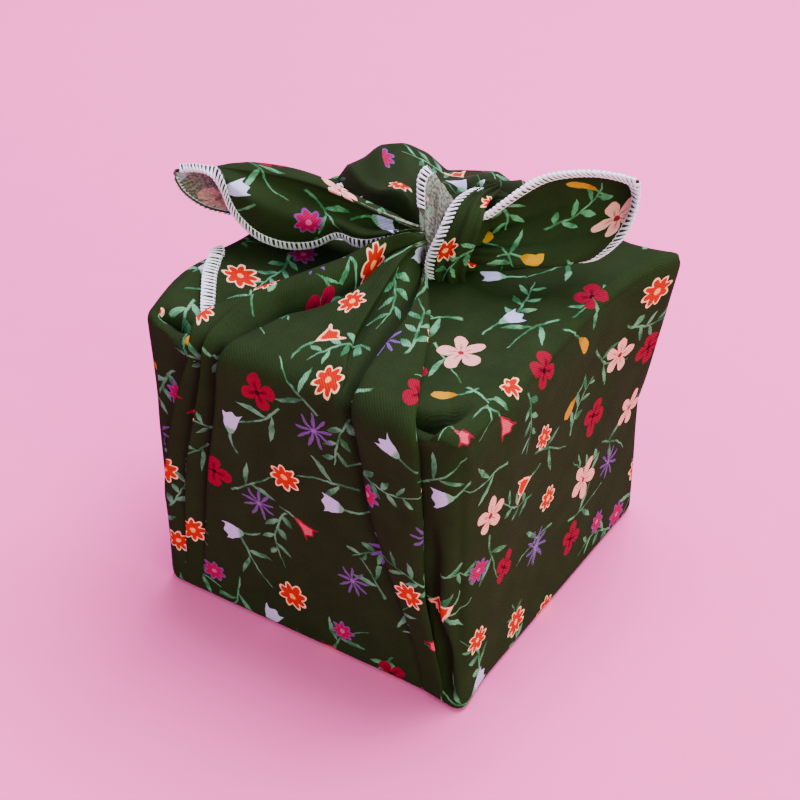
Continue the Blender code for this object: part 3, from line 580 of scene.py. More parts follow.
# One stitch from its needle hole over the edge to the back. Columns: in from the edge, out of the cloth.
stitch_path = np.array([(3.8, -0.1), (3.6, 0.38), (2.8, 0.55), (1.8, 0.6), (0.8, 0.58), (0.0, 0.45),
                        (-0.38, 0.1), (-0.42, -0.45), (-0.1, -0.9), (0.8, -1.1), (2.2, -1.12), (3.5, -0.9),
                        (3.8, -0.5)])
# Half the bundle's width at each of those: it is drawn together at the needle line and spreads over the edge.
bar_half = np.array([0.4, 0.44, 0.46, 0.5, 0.66, 0.82, 0.87, 0.85, 0.75, 0.6, 0.5, 0.45, 0.4])


def overlock_thread():
    """Textured polyester overlock thread, its filaments crimped and left soft: white with a faint lilac
    tinge, slightly glossy, the crimp and the lint on it as a fine bump and an uneven white."""
    material, tree, shader = new_finish("white_overlock_thread", 0.6)
    where = add(tree, "TexCoord")["Object"]
    tree.links.new(two_tone(tree, where, 900.0, 3.0, "#d6caf6", "#f2e8ff"), shader.inputs["Base Color"])
    fine = add(tree, "TexNoise", {"Vector": where, "Scale": 2600.0, "Detail": 2.0})["Fac"]
    tree.links.new(add(tree, "Bump", {"Strength": 0.5, "Distance": 0.00012, "Height": fine})[0],
                   shader.inputs["Normal"])
    shader.inputs["Sheen Weight"].default_value = 0.1
    return material


def hem_ground():
    """The cloth between the stitches: dark green cotton, its print too small a strip to read."""
    material, tree, shader = new_finish("dark_green_cotton_edge", 0.9)
    where = add(tree, "TexCoord")["Object"]
    tree.links.new(two_tone(tree, where, 700.0, 3.0, "#131c0e", "#39452f"), shader.inputs["Base Color"])
    return material


white_thread, edge_ground = overlock_thread(), hem_ground()


def tube(path, side, lift, half_width, half_thick, sides):
    """Closed tubes along paths: an ellipse swept in the plane of `side` and `lift`, a face shutting each end.

    `path`, `side` and `lift` have the shape (tube, station, xyz). Returns the points and the faces.
    """
    count, stations = path.shape[:2]
    turn = np.arange(sides) * 2 * np.pi / sides
    half_width = np.reshape(half_width, (1, -1, 1, 1))
    ring = np.cos(turn)[:, None] * half_width * side[:, :, None]
    ring = ring + np.sin(turn)[:, None] * half_thick * lift[:, :, None]
    points = (path[:, :, None] + ring).reshape(-1, 3)
    k = np.arange(count * stations * sides).reshape(count, stations, sides)
    ahead = np.roll(k, -1, axis=2)
    quads = np.stack([k[:, :-1], ahead[:, :-1], ahead[:, 1:], k[:, 1:]], -1).reshape(-1, 4).tolist()
    caps = k[:, 0, ::-1].reshape(-1, sides).tolist() + k[:, -1].reshape(-1, sides).tolist()
    return points, quads + caps


def overlocked(name, edge, inside, out, seed):
    """Overlock along an edge: a bar of thread at each stitch, a chain and a needle line, and the hem within.

    `edge` is the cut edge, `inside` the same line at the stitches' inner end, each as points in a row, and
    `out` a direction on the printed side. Each stitch follows stitch_path, leaning a little along the edge.
    """
    step = np.linalg.norm(np.diff(edge, axis=0), axis=1)
    length = np.concatenate([[0.0], np.cumsum(step)])
    count = max(3, int(length[-1] / stitch_pitch))
    draw = np.random.default_rng(seed)
    at = (np.arange(count) + 0.5) * length[-1] / count + draw.uniform(-0.12, 0.12, count)
    along = lambda line, where: np.stack([np.interp(where, length, line[:, k]) for k in range(3)], -1)
    unit = lambda v: v / (np.linalg.norm(v, axis=-1, keepdims=True) + 1e-9)
    inward = unit(inside - edge)
    travel = unit(np.gradient(edge, axis=0))
    outward = unit(np.cross(travel, inward))
    outward *= np.sign((outward * out).sum(-1, keepdims=True))
    e, i, t, n = along(edge, at), along(inside, at), unit(along(travel, at)), unit(along(outward, at))
    span = i - e
    w = stitch_path[:, 0] / stitch_reach
    slant = 0.45 * (w - 0.5) + draw.uniform(-0.1, 0.1, (count, 1))
    lift = stitch_path[:, 1] * (1 + draw.uniform(-0.08, 0.08, (count, 1)))
    path = e[:, None] + span[:, None] * w[:, None]
    path = path + n[:, None] * lift[..., None] + t[:, None] * slant[..., None]
    ahead = unit(np.gradient(path, axis=1))
    side = np.broadcast_to(t[:, None], path.shape)
    up = unit(np.cross(ahead, side))
    points, faces = tube(path, side, up, bar_half, bar_thick, 6)
    # The looper chain along the edge, and the needle thread along the inner end.
    fine = np.linspace(0, length[-1], count * 4)
    fine_edge, fine_in, fine_out = along(edge, fine), along(inward, fine), along(outward, fine)
    for shift_in, shift_out, thick in ((-0.42, 0.1, 0.3), (3.75, 0.25, 0.14)):
        wobble = 0.18 * np.sin(fine / stitch_pitch * 2 * np.pi)[:, None]
        line = fine_edge + fine_in * (shift_in + wobble) + fine_out * shift_out
        more, more_faces = tube(line[None], fine_in[None], fine_out[None], thick, thick, 6)
        faces += [[v + len(points) for v in face] for face in more_faces]
        points = np.vstack([points, more])
    threads = len(faces)
    # The hem itself, a flat fold of cloth inside the stitches. Columns: in from the edge, out of the cloth.
    cut = np.array([(-0.15, -0.1), (0.2, 0.22), (4.1, 0.1), (4.1, -0.6), (0.2, -0.75)])
    rows = fine_edge[:, None] + fine_in[:, None] * cut[:, :1] + fine_out[:, None] * cut[:, 1:]
    k = np.arange(rows.shape[0] * len(cut)).reshape(-1, len(cut)) + len(points)
    ahead = np.roll(k, -1, axis=1)
    faces += np.stack([k[:-1], k[1:], ahead[1:], ahead[:-1]], -1).reshape(-1, 4).tolist()
    faces += [k[0].tolist(), k[-1, ::-1].tolist()]
    points = np.vstack([points, rows.reshape(-1, 3)])
    mesh = bpy.data.meshes.new(name)
    mesh.from_pydata((points * MM).tolist(), [], faces)
    mesh.materials.append(white_thread)
    mesh.materials.append(edge_ground)
    mesh.polygons.foreach_set("material_index", (np.arange(len(faces)) >= threads).astype(np.int32))
    mesh.polygons.foreach_set("use_smooth", np.arange(len(faces)) < threads)
    facing = bmesh.new()
    facing.from_mesh(mesh)
    bmesh.ops.recalc_face_normals(facing, faces=facing.faces)
    facing.to_mesh(mesh)
    facing.free()
    trim = bpy.data.objects.new(name, mesh)
    bpy.context.collection.objects.link(trim)
    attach(trim, "root")
    return trim


def over_flap_side(over, y, rise):
    """Points where the top turns down over the -X edge, from distance over it, y, and height off the box.

    The top's own sag is taken off, as on the cloth below.
    """
    depth_in, up = turned_edge(height - over, rise)
    sag = top_sag * ease((np.minimum(-over, depth / 2 - np.abs(y)) - 6.0) / 24.0)
    return np.stack([depth_in - width / 2, y, up - sag], -1)


def turned_edge(run, rise):
    """Where a run up a side and over its edge lies, as depth in from the side and height.

    A straight side, a quarter circle at the floor and at the top's edge, and the level top, each pushed
    out along its own normal by `rise`.
    """
    foot = np.clip((run + bottom_radius) / (2 * bottom_radius), 0, 1) * np.pi / 2
    brow = np.clip((run - height + top_radius) / (2 * top_radius), 0, 1) * np.pi / 2
    low, high = -np.minimum(run + bottom_radius, 0.0), np.maximum(run - height - top_radius, 0.0)
    depth_in = bottom_radius * (1 - np.sin(foot)) + top_radius * (1 - np.cos(brow)) + low + high
    up = bottom_radius * (1 - np.cos(foot))
    up = up + np.clip(run - bottom_radius, 0, height - top_radius - bottom_radius) + top_radius * np.sin(brow)
    return depth_in - rise * np.sin(foot) * np.cos(brow), up - rise * (np.cos(foot) - np.sin(brow))


hem_line = smooth_line(flap_hem, 161)
hem_line = hem_line[(hem_line[:, 1] > -59.5) & (hem_line[:, 1] < 58.0)]     # its ends are under the gathers
hem_travel = np.gradient(hem_line, axis=0)
hem_travel /= np.linalg.norm(hem_travel, axis=1, keepdims=True)
hem_inner = hem_line + np.column_stack([-hem_travel[:, 1], hem_travel[:, 0]]) * stitch_reach
flap_edge = slackened(over_flap_side(hem_line[:, 0], hem_line[:, 1], layer + 0.5))
flap_inner = slackened(over_flap_side(hem_inner[:, 0], hem_inner[:, 1], layer + 0.5))
flap_trim = overlocked("flap_overlock", flap_edge, flap_inner, np.array([[-1.0, 0.0, 1.0]]), seed=11)

# --- Front gather -----------------------------------------------------------------------------------
# The corner of the square that comes up the -Y side: pleats lapped one over the next, turned over the
# top's edge and drawn together under the knot. It is the same cotton, printed side out.
# Lines up the pleats. Columns: x, run up the side and on over the top.
front_guides = [
    [(-64.5, -8), (-64.5, 30), (-62.5, 46), (-53.3, 91), (-45, 116), (-46.5, 128), (-45.5, 140), (-42, 150),
     (-35, 160), (-26, 170), (-16, 179.5), (-4, 187), (3, 190), (6, 196)],
    [(-56, -8), (-54, 30), (-51, 60), (-46.2, 85), (-40.5, 112), (-39.5, 128), (-38, 140), (-34, 150),
     (-28, 158), (-20.5, 167), (-14, 174), (-8, 181), (2, 187.5), (7, 196)],
    [(-50, -8), (-46.9, 17), (-40.9, 64), (-35, 99), (-33, 118), (-30.5, 126), (-29.5, 132), (-28.5, 141),
     (-26, 149), (-20, 154.5), (-14, 160.5), (-9.5, 168), (-6.5, 175), (-3, 182), (4.5, 188), (7.5, 196)],
    [(8, -8), (12, 60), (14, 100), (15, 118), (13.8, 128.3), (10.5, 134), (7.1, 141.2), (5.2, 149.3),
     (4.2, 156), (3, 165.8), (3.2, 175), (3.8, 183), (7, 190), (8, 196)],
    [(48.4, -8), (47.5, 12), (43.8, 28.4), (39.8, 42), (34.5, 56), (29.9, 70.2), (26.8, 82), (25, 95),
     (23, 107.3), (20.6, 118), (18.4, 127), (17, 136), (16.1, 147), (16.1, 158.9), (15.3, 167),
     (13.6, 176.9), (10.2, 185.2), (9, 196)],
    [(57.6, -8), (56.8, 10), (54.2, 26), (52.2, 38), (50.6, 47), (49.9, 60), (49.6, 80), (48.6, 100),
     (47.8, 115), (46, 121), (41.8, 128.5), (36, 140), (31, 151), (26.4, 160.5), (21.2, 170), (14.1, 180),
     (11, 190), (10.5, 196)],
]
# Heights off the box along lines between the guides: place between guides, then heights at the runs, then,
# where the cloth is tucked sideways under its neighbour, how far at each run.
front_runs = [-8, 10, 40, 70, 95, 116, 127, 140, 155, 170, 186]
front_ribs = [
    (0.00, [0, 0.5, 1.4, 2.2, 2.8, 3.4, 4.2, 2.6, 1.8, 1.8, 3.4]),
    (0.30, [0, 0.5, 1.4, 1.9, 2.1, 2.4, 3.6, 4.4, 5.0, 5.4, 6.0]),
    (0.70, [0, 0.5, 1.1, 1.2, 1.0, 1.0, 2.8, 5.6, 7.0, 7.0, 7.0]),
    (0.86, [0, 0.5, 0.7, 0.4, 0.0, -0.2, 2.4, 5.8, 7.4, 7.4, 7.2]),
    (0.95, [0, 0.5, 0.2, -0.6, -1.2, -1.4, 1.8, 6.0, 7.6, 7.5, 7.2],
     [0, 0, 1.2, 2.2, 2.5, 2.4, 0.8, 0, 0, 0, 0]),
    (1.00, [0, 0.5, 2.1, 3.2, 3.7, 4.0, 4.2, 6.2, 7.6, 7.5, 7.2]),
    (1.12, [0, 0.5, 2.0, 2.9, 3.4, 3.6, 4.0, 6.0, 7.4, 7.3, 6.8]),
    (1.45, [0, 0.5, 1.5, 1.9, 2.1, 2.2, 2.8, 4.0, 5.6, 6.0, 5.8]),
    (1.75, [0, 0.5, 1.1, 1.1, 1.0, 1.0, 1.0, 0.8, 1.4, 2.2, 3.6]),
    (1.88, [0, 0.5, 0.6, 0.2, -0.2, -0.4, -0.6, -1.4, -2.2, -1.6, 1.6]),
    (1.96, [0, 0.5, 0.0, -1.0, -1.6, -1.8, -1.4, -2.8, -4.0, -3.2, 0.8],
     [0, 0, 1.5, 2.6, 3, 2.6, 1.4, 0.6, 0.4, 0, 0]),
    (2.00, [0, 0.5, 2.2, 3.8, 4.8, 5.2, 3.6, -0.6, -3.0, -2.4, 1.2]),
    (2.08, [0, 0.5, 2.1, 3.6, 4.3, 4.7, 4.0, 1.8, -0.2, -0.2, 1.8]),
    (2.30, [0, 0.6, 1.7, 2.6, 3.0, 3.0, 3.0, 2.8, 2.6, 2.4, 2.6]),
    (2.60, [0, 0.6, 1.4, 2.0, 2.0, 1.9, 1.8, 2.2, 2.8, 2.8, 2.6]),
    (2.90, [0, 0.6, 1.2, 1.6, 1.6, 1.7, 2.0, 3.0, 4.0, 3.8, 3.0]),
    (2.98, [0, 0.6, 1.2, 1.6, 1.6, 1.8, 2.2, 3.4, 4.4, 4.2, 3.2],
     [0, 0, 0, 0, 0, 0, 0.4, 1.0, 1.2, 1.0, 0.4]),
    (3.06, [0, 0.6, 1.2, 1.6, 1.6, 1.6, 1.2, -0.2, -1.4, -1.0, 0.6],
     [0, 0, 0, 0, 0, 0, -0.5, -1.3, -1.6, -1, -0.4]),
    (3.30, [0, 0.6, 1.2, 1.5, 1.5, 1.4, 1.2, 1.2, 1.4, 1.8, 1.8]),
    (3.65, [0, 0.6, 1.0, 0.9, 0.4, -0.4, -0.8, 0.2, 1.4, 2.0, 2.0]),
    (3.82, [0, 0.5, 0.5, -0.4, -1.2, -2.4, -2.8, -2.2, -0.8, 0.4, 1.0]),
    (3.93, [0, 0.4, 0.0, -1.2, -2.4, -3.8, -4.2, -3.8, -2.4, -1.0, 0.2],
     [0, 0, 0.4, 0.6, 0.8, 1, 1, 0.8, 0.4, 0, 0]),
    (4.00, [0, 0.2, -0.6, -1.8, -3.0, -4.2, -4.4, -4.0, -2.8, -1.4, 0],
     [0, 0, 1, 1.8, 2.2, 2.4, 2.4, 2, 1.4, 1, 0]),
    (4.05, [0, 0.5, 1.9, 2.6, 3.2, 3.6, 3.8, 3.6, 3.2, 2.6, 1.8],
     [0, 0, -0.3, -0.4, -0.4, -0.4, -0.4, -0.3, 0, 0, 0]),
    (4.14, [0, 0.8, 2.5, 3.5, 4.2, 4.8, 5.2, 5.2, 4.8, 4.0, 2.6]),
    (4.50, [0, 1.0, 2.8, 4.0, 4.8, 5.4, 5.8, 5.8, 5.4, 4.8, 3.0]),
    (4.86, [0, 1.0, 2.8, 3.9, 4.6, 5.2, 5.6, 5.6, 5.2, 4.4, 3.0]),
    (5.00, [0, 0.8, 2.2, 3.0, 3.6, 4.2, 4.6, 4.6, 4.2, 3.4, 2.4]),
]
# How the cloth is drawn up to the knot. Columns: distance from it, rise.
front_tent = [(0, 21), (10, 19), (20, 15), (32, 9), (42, 6.5), (52, 4), (64, 2), (78, 0)]
border_columns = 3              # columns past each border of a gather that turn its edge down


def softened(grid, passes, axis):
    """A grid averaged with its neighbours along one axis, weights 1-2-1, its ends kept."""
    for _ in range(passes):
        inner = (np.roll(grid, 1, axis) + 2 * grid + np.roll(grid, -1, axis)) / 4
        keep = [slice(None)] * grid.ndim
        keep[axis] = slice(1, -1)
        made = grid.copy()
        made[tuple(keep)] = inner[tuple(keep)]
        grid = made
    return grid


def gather(guides, runs, ribs, tent, side, rows, pitch, border, last):
    """A gathered side as a grid: guides blended across, ribs blended between them, and a tent to the knot.

    x comes from the guides plus the ribs' tuck, height off the box from the ribs plus a rise by distance
    from the knot. Past each border more columns turn the edge down: `border` gives how far out they lie,
    outermost first, less than zero being under the cloth. `side` is -1 for the -Y side and 1 for +Y, and
    `last` is the run at which it ends in the knot. Returns the points, the place between guides of each
    column, and the runs.
    """
    run = np.linspace(runs[0], last, rows)
    lines = [smooth_line(g, 400) for g in guides]
    at = np.array([np.interp(run, line[:, 1], line[:, 0]) for line in lines]).T     # row, guide
    places = np.array([r[0] for r in ribs])
    mid = at[rows // 2]
    columns = [places[0]]
    for a, b in zip(places[:-1], places[1:]):
        gap = abs(np.interp(b, np.arange(len(guides)), mid) - np.interp(a, np.arange(len(guides)), mid))
        columns += list(np.linspace(a, b, max(2, int(round(gap / pitch))) + 1)[1:])
    columns = np.array(columns)
    low = np.minimum(columns.astype(int), len(guides) - 2)
    share = columns - low
    across = at[:, low] * (1 - share) + at[:, low + 1] * share
    right = np.clip(np.searchsorted(places, columns, side="left"), 1, len(places) - 1)
    f = (columns - places[right - 1]) / (places[right] - places[right - 1])

    def between_ribs(values):
        """Values at the ribs, by run, blended over the grid and softened a little."""
        grid = np.array([np.interp(run, runs, v) for v in values]).T
        return softened(softened(grid[:, right - 1] * (1 - f) + grid[:, right] * f, 1, 1), 3, 0)

    closed = ease((run[:, None] - last + 9.0) / 8.0)
    rise = between_ribs([r[1] for r in ribs]) * (1.0 - closed) + 1.5 * closed
    across = across + between_ribs([r[2] if len(r) > 2 else [0] * len(runs) for r in ribs])
    # The border's columns, outermost first: how far they drop and what share of the edge's height they keep.
    out = np.array(border)
    way = np.sign(across[:, -1:] - across[:, :1] + 1e-9)
    drop = np.array([-1.0, 0.0, 0.0])
    keep = np.array([0.0, 0.3, 0.7])
    edge_left, edge_right = rise[:, :1] * keep + drop, rise[:, -1:] * keep[::-1] + drop[::-1]
    across = np.hstack([across[:, :1] - way * out, across, across[:, -1:] + way * out[::-1]])
    run_grid = np.repeat(run[:, None], across.shape[1], axis=1)
    y_in = np.maximum(run_grid - height, 0.0)
    from_knot = np.hypot(across - knot_x, depth / 2 - y_in + side * -knot_y)
    lift = np.interp(from_knot, *np.transpose(tent)) * ease((run_grid - height - 1.0) / 9.0)
    held = np.ones(across.shape[1])
    held[:border_columns] = held[-border_columns:][::-1] = (0.0, 0.45, 0.9)
    rise = np.hstack([edge_left, rise, edge_right])
    sag = top_sag * ease((np.minimum(y_in, width / 2 - np.abs(across)) - 6.0) / 24.0)
    total = rise + lift * held - sag * (run_grid > height)
    total = np.where(run_grid < bottom_radius, np.minimum(total, 0.0), total)
    depth_in, up = turned_edge(run_grid, total)
    round_corner = np.clip(np.abs(across) - (width / 2 - upright_radius), 0, upright_radius - 0.3)
    below_top = ease((height - run_grid) / 6.0)
    depth_in += below_top * (upright_radius - np.sqrt(upright_radius ** 2 - round_corner ** 2))
    points = np.stack([across, side * (depth / 2 - depth_in), up], -1)
    return points, columns, run_grid


def flat_gather(points, columns, run, seams, jumps, anchor, offset):
    """Flat cloth of a gather: arc length across from the anchor column, run up, and a jump at every fold.

    `seams` are the places between guides at which a fold hides cloth, and `jumps` what each panel between
    them is moved by on the flat cloth.
    """
    across = np.concatenate([np.zeros((points.shape[0], 1)),
                             np.cumsum(np.linalg.norm(np.diff(points, axis=1), axis=2), axis=1)], axis=1)
    fixed = across[:, anchor:anchor + 1]
    across = across - fixed + points[:, anchor:anchor + 1, 0]
    flat = corners(np.stack([across + offset[0], run + offset[1]], -1))
    middle = (columns[:-1] + columns[1:]) / 2
    panel = np.searchsorted(seams, middle)
    panel = np.concatenate([[0] * border_columns, panel, [len(seams)] * border_columns])
    return flat + np.asarray(jumps, float)[panel][None, :, None, :]


front, front_columns, front_run_grid = gather(front_guides, front_runs, front_ribs, front_tent, side=-1,
                                              rows=170, pitch=1.0, border=(-2.4, -0.1, 0.4), last=195.0)
# Towards its right the gather runs in ever lower, down to the foot of the knot.
place = np.pad(front_columns, border_columns, mode="edge")
lower = 11.0 * ease((place[None, :] - 2.6) / 2.0) * ease((front_run_grid - 150.0) / 34.0)
front = slackened(front + lower[..., None] * np.array([-0.67, 1.05, -1.0]))
flat_front = flat_gather(front, front_columns, front_run_grid, [0.93, 1.95, 4.02],
                         [(-31, 11), (-14, -9), (0, 0), (23, 17)],
                         border_columns + int(np.argmin(abs(front_columns - 2.5))), (420.0, 0.0))
front_gather = cloth_piece("front_gather", front, flat_front, [printed, wrong_side])

# --- Back gather ------------------------------------------------------------------------------------
# The opposite corner of the square comes up the +Y side. It is drawn in more loosely, so it stands up
# in a hump behind the bow and breaks into small folds beside the knot.
# Lines up the folds. Columns: x, run up the side and on over the top.
back_guides = [
    [(60, -8), (55, 50), (49, 100), (45, 124), (39, 137.3), (30, 150.6), (21, 163.8), (13, 175.5),
     (11, 182.1)],
    [(40, -8), (36, 50), (32, 100), (30, 124), (27, 137.3), (22, 150.6), (17, 162.2), (12, 173.8),
     (10.5, 182.1)],
    [(18, -8), (18, 50), (17, 100), (17, 124), (17, 138.9), (15, 150.6), (13, 162.2), (10, 173.8),
     (9.5, 182.1)],
    [(-4, -8), (-2, 60), (0, 100), (2, 124), (4, 138.9), (6, 152.2), (7, 163.8), (7, 173.8), (8.5, 182.1)],
    [(-28, -8), (-26, 60), (-24, 100), (-22, 124), (-17, 138.9), (-10, 152.2), (-3, 163.8), (3, 173.8),
     (7, 182.1)],
    [(-50, -8), (-49, 60), (-48, 100), (-46, 124), (-41, 138.9), (-30, 152.2), (-17, 163.8), (-3, 173.8),
     (5, 182.1)],
    [(-61, -8), (-59.5, 50), (-59.5, 100), (-60, 124), (-59, 134), (-54, 143.9), (-42, 154.7), (-25, 166.3),
     (-6, 174.6), (4, 182.1)],
]
back_runs = [-8, 10, 40, 80, 110, 124, 133, 145.5, 158, 168.5, 177]
back_ribs = [
    (0.00, [0, 0.4, 1.2, 1.8, 2.4, 2.6, 2.0, 2.0, 3.0, 2.6, 2.0]),
    (0.30, [0, 0.4, 1.2, 1.8, 2.6, 3.0, 2.0, 3.6, 6.5, 4.4, 2.0]),
    (0.60, [0, 0.4, 0.9, 0.9, 0.8, 0.8, -0.6, 0.0, 1.0, 1.0, 1.0]),
    (0.90, [0, 0.4, 1.2, 2.0, 2.8, 3.4, 2.4, 4.4, 7.0, 4.8, 2.0]),
    (1.20, [0, 0.4, 1.0, 1.2, 1.2, 1.0, -0.6, 0.2, 1.4, 1.2, 1.0]),
    (1.50, [0, 0.4, 1.2, 2.0, 2.8, 3.4, 2.4, 4.6, 7.0, 4.8, 2.0]),
    (1.80, [0, 0.4, 1.0, 1.2, 1.2, 1.2, -0.4, 0.6, 1.6, 1.4, 1.0]),
    (2.15, [0, 0.4, 1.2, 1.8, 2.6, 3.6, 6.0, 9.0, 9.0, 5.0, 2.0]),
    (2.50, [0, 0.4, 1.0, 1.0, 1.2, 1.8, 3.0, 3.6, 2.6, 1.6, 1.0]),
    (2.90, [0, 0.4, 1.2, 1.8, 2.6, 3.4, 5.6, 8.0, 6.6, 3.8, 2.0]),
    (3.40, [0, 0.4, 1.2, 1.4, 2.0, 2.4, 2.6, 3.6, 3.0, 2.0, 1.6]),
    (3.90, [0, 0.4, 1.2, 1.6, 2.2, 2.4, -1.0, 1.0, 2.0, 2.2, 1.8]),
    (4.25, [0, 0.4, 1.2, 2.0, 3.0, 4.4, 6.0, 5.4, 4.0, 2.6, 2.0]),
    (4.60, [0, 0.4, 1.2, 2.0, 3.2, 5.0, 8.8, 7.2, 4.4, 2.6, 2.0]),
    (4.95, [0, 0.4, 1.2, 1.8, 2.6, 4.4, 8.8, 6.6, 3.6, 2.0, 1.6]),
    (5.20, [0, 0.4, 1.5, 2.4, 3.0, 4.4, 8.6, 6.4, 3.4, 2.0, 1.6]),
    (5.55, [0, 0.4, 1.2, 1.8, 2.4, 3.0, 5.0, 4.0, 2.6, 2.0, 1.6]),
    (6.00, [0, 0.4, 1.0, 1.4, 1.6, 1.8, 2.4, 2.6, 2.2, 1.8, 1.6]),
]
back_tent = [(0, 17), (8, 20), (13, 24.5), (20, 26.5), (28, 23), (36, 18), (46, 14), (56, 11), (64, 9),
             (70, 6), (78, 1.5), (86, 0)]
back, back_columns, back_run_grid = gather(back_guides, back_runs, back_ribs, back_tent, side=1,
                                           rows=150, pitch=1.2, border=(5.0, 3.2, 1.2), last=182.0)
back = slackened(back)
flat_back = flat_gather(back, back_columns, back_run_grid, [0.6, 1.2, 1.8, 2.5, 5.05],
                        [(60, 20), (44, -8), (31, 12), (15, 4), (0, 0), (-17, 9)],
                        border_columns + int(np.argmin(abs(back_columns - 4.0))), (760.0, 40.0))
back_gather = cloth_piece("back_gather", back, flat_back, [printed, wrong_side])

# --- Ears -------------------------------------------------------------------------------------------
# The two free corners beyond the knot, folded along a ridge so that each hangs as a pointed ear: the
# left one arches over, the right one is cupped and shows its printed side within.
# Lines from the knot outwards, each a little further round the ear than the last. Columns: x, y, z.
left_ear_lines = [
    # The front hem.
    [(9.5, 9, 142.5), (3.3, 4, 144.2), (-4.8, 1, 140.0), (-13.1, -2.5, 135.5), (-18.9, -4, 134.6),
     (-27.2, -2.5, 134.1), (-36.1, -5.5, 128.3), (-45.1, -9.5, 126.9), (-53.5, -14, 130.2),
     (-59.2, -17.5, 137.1), (-62.8, -19.3, 144.1), (-65.5, -19.3, 150.4), (-71.0, -18, 154.0),
     (-78.9, -17, 152.6), (-88.4, -16, 148.0)],
    # The belly of the front, bowed out.
    [(9, 9, 142.5), (2.1, 4.5, 143.9), (-4.2, 0, 143.3), (-12.3, -3, 141.2), (-18.5, -5.0, 141.5),
     (-25.9, -6.5, 143.1), (-33.8, -9.5, 141.9), (-42.6, -13.5, 143.2), (-49.9, -17, 146.3),
     (-55.7, -18.8, 150.1), (-60.1, -18.8, 152.4), (-64.4, -18, 154.6), (-71.7, -16.5, 154.3),
     (-79.8, -15.8, 152.5), (-88.6, -15.7, 148.1)],
    # The long hollow above it.
    [(8.5, 9.5, 142.5), (1.2, 6, 143.1), (-6.7, 5, 143.5), (-15.9, 4.2, 143.6), (-22.0, 2.8, 145.2),
     (-29.5, 1.0, 146.7), (-37.6, -2, 148.6), (-46.8, -6.0, 150.7), (-54.2, -10, 152.6),
     (-59.3, -12, 153.6), (-63.3, -13, 154.3), (-67.3, -13.5, 154.6), (-73.2, -14.5, 153.5),
     (-80.4, -15, 152.1), (-88.7, -15.6, 148.2)],
    # The roll above the hollow.
    [(8.5, 9.5, 143), (1.2, 6, 143.5), (-5.8, 2.5, 146.4), (-14.2, 0, 149.0), (-20.7, -1, 150.6),
     (-28.4, -2, 152.6), (-37.1, -3.5, 154.2), (-46.9, -6, 155.3), (-55.1, -8.5, 155.8),
     (-60.2, -10.5, 155.8), (-64.3, -11.5, 155.4), (-68.0, -12.5, 154.9), (-73.9, -13.5, 153.2),
     (-80.7, -14.6, 152.0), (-88.8, -15.5, 148.3)],
    # The ridge.
    [(8, 11, 142.5), (-0.9, 8, 142.5), (-8.6, 7, 145.3), (-18.4, 6.5, 146.8), (-26.6, 6, 148.4),
     (-34.9, 4.5, 151.6), (-44.2, 2.5, 153.4), (-53.7, 0, 154.0), (-62.7, -4, 154.3), (-66.5, -6, 153.8),
     (-70.0, -8, 153.2), (-72.5, -10, 152.6), (-75.7, -12, 152.0), (-81.2, -14, 151.6),
     (-88.9, -15.4, 148.3)],
    # The belly of the back.
    [(9, 13, 140), (2, 12, 138), (-7, 13, 137), (-17, 13.5, 137.5), (-25, 13, 138.5), (-34, 12, 140),
     (-44, 10, 141.5), (-54, 7.5, 142), (-63, 3.5, 142), (-68, 0.5, 141.5), (-72, -2.5, 141),
     (-76, -6, 141.5), (-80, -9, 142.5), (-85, -12.5, 144.5), (-89.0, -15.8, 147.8)],
    # Just inside the back hem, so that the hem is seen edge on near the tip.
    [(9, 14, 140), (4, 12, 140), (-6, 13, 138.5), (-16, 13.5, 137), (-24, 13, 135.5), (-34, 12, 134),
     (-44, 10, 132.5), (-54, 7, 131), (-63, 3, 130), (-69, 0, 129.5), (-72, -3, 130), (-75.4, -6, 131),
     (-81.4, -9.3, 133.2), (-86.6, -12.6, 138.5), (-89.0, -16, 147.5)],
    # The back hem.
    [(9, 14, 139), (4, 12, 139), (-6, 13, 137), (-16, 13.5, 135), (-24, 13, 133), (-34, 12, 131),
     (-44, 10, 129.5), (-54, 7, 128), (-63, 3.5, 127), (-69, 0.5, 127), (-73, -1.5, 127.5),
     (-77, -4, 128.6), (-82.7, -7, 130.8), (-87.5, -11, 137.0), (-89.1, -16, 147.3)],
]
right_ear_lines = [
    # The top hem.
    [(12, 12, 149), (23.7, 12, 153.2), (29.2, 15, 158.3), (33.5, 20, 162.7), (38, 27, 165.8),
     (44.5, 32.5, 167.0), (52, 38, 167.0), (60, 42, 166.2), (67.3, 44, 165.4)],
    # The back of the cup.
    [(12, 15, 146), (23, 18, 147), (29, 23.5, 150), (35, 30, 152.5), (42, 37, 154.5), (49.5, 43, 156),
     (57, 46.5, 157), (63, 46.5, 158), (67.3, 44, 158)],
    # The bottom of the cup.
    [(12, 12, 142), (24, 14.5, 143), (31, 19, 144), (37.5, 25, 144.5), (44.5, 32, 145), (51.5, 38.5, 145.5),
     (58, 43, 147), (63, 44.5, 149), (66.6, 42.5, 150.5)],
    # The crest of the near side.
    [(13, 8, 139), (25, 9.5, 140.5), (32, 12.5, 140.7), (38.5, 17, 140), (45, 23, 139), (51, 29.5, 138.5),
     (56.5, 35, 139.3), (61, 38.5, 141), (64.5, 40, 142.5)],
    # The fold along the bottom.
    [(13, 7, 134.5), (25.9, 9, 136), (32.5, 11.5, 136.2), (39, 15, 135.6), (44.5, 19.5, 134.8),
     (49, 24.5, 134.2), (52.5, 29, 134), (55.5, 32.8, 134.3), (58, 35.5, 135)],
    # The hidden end, turned under.
    [(13, 10, 131.5), (24, 13, 132), (30, 16, 132), (35.5, 20, 132), (40, 24, 132), (43.5, 27, 132.2),
     (46.5, 29.5, 132.4), (48.5, 31, 132.8), (50.1, 32, 133.2)],
]
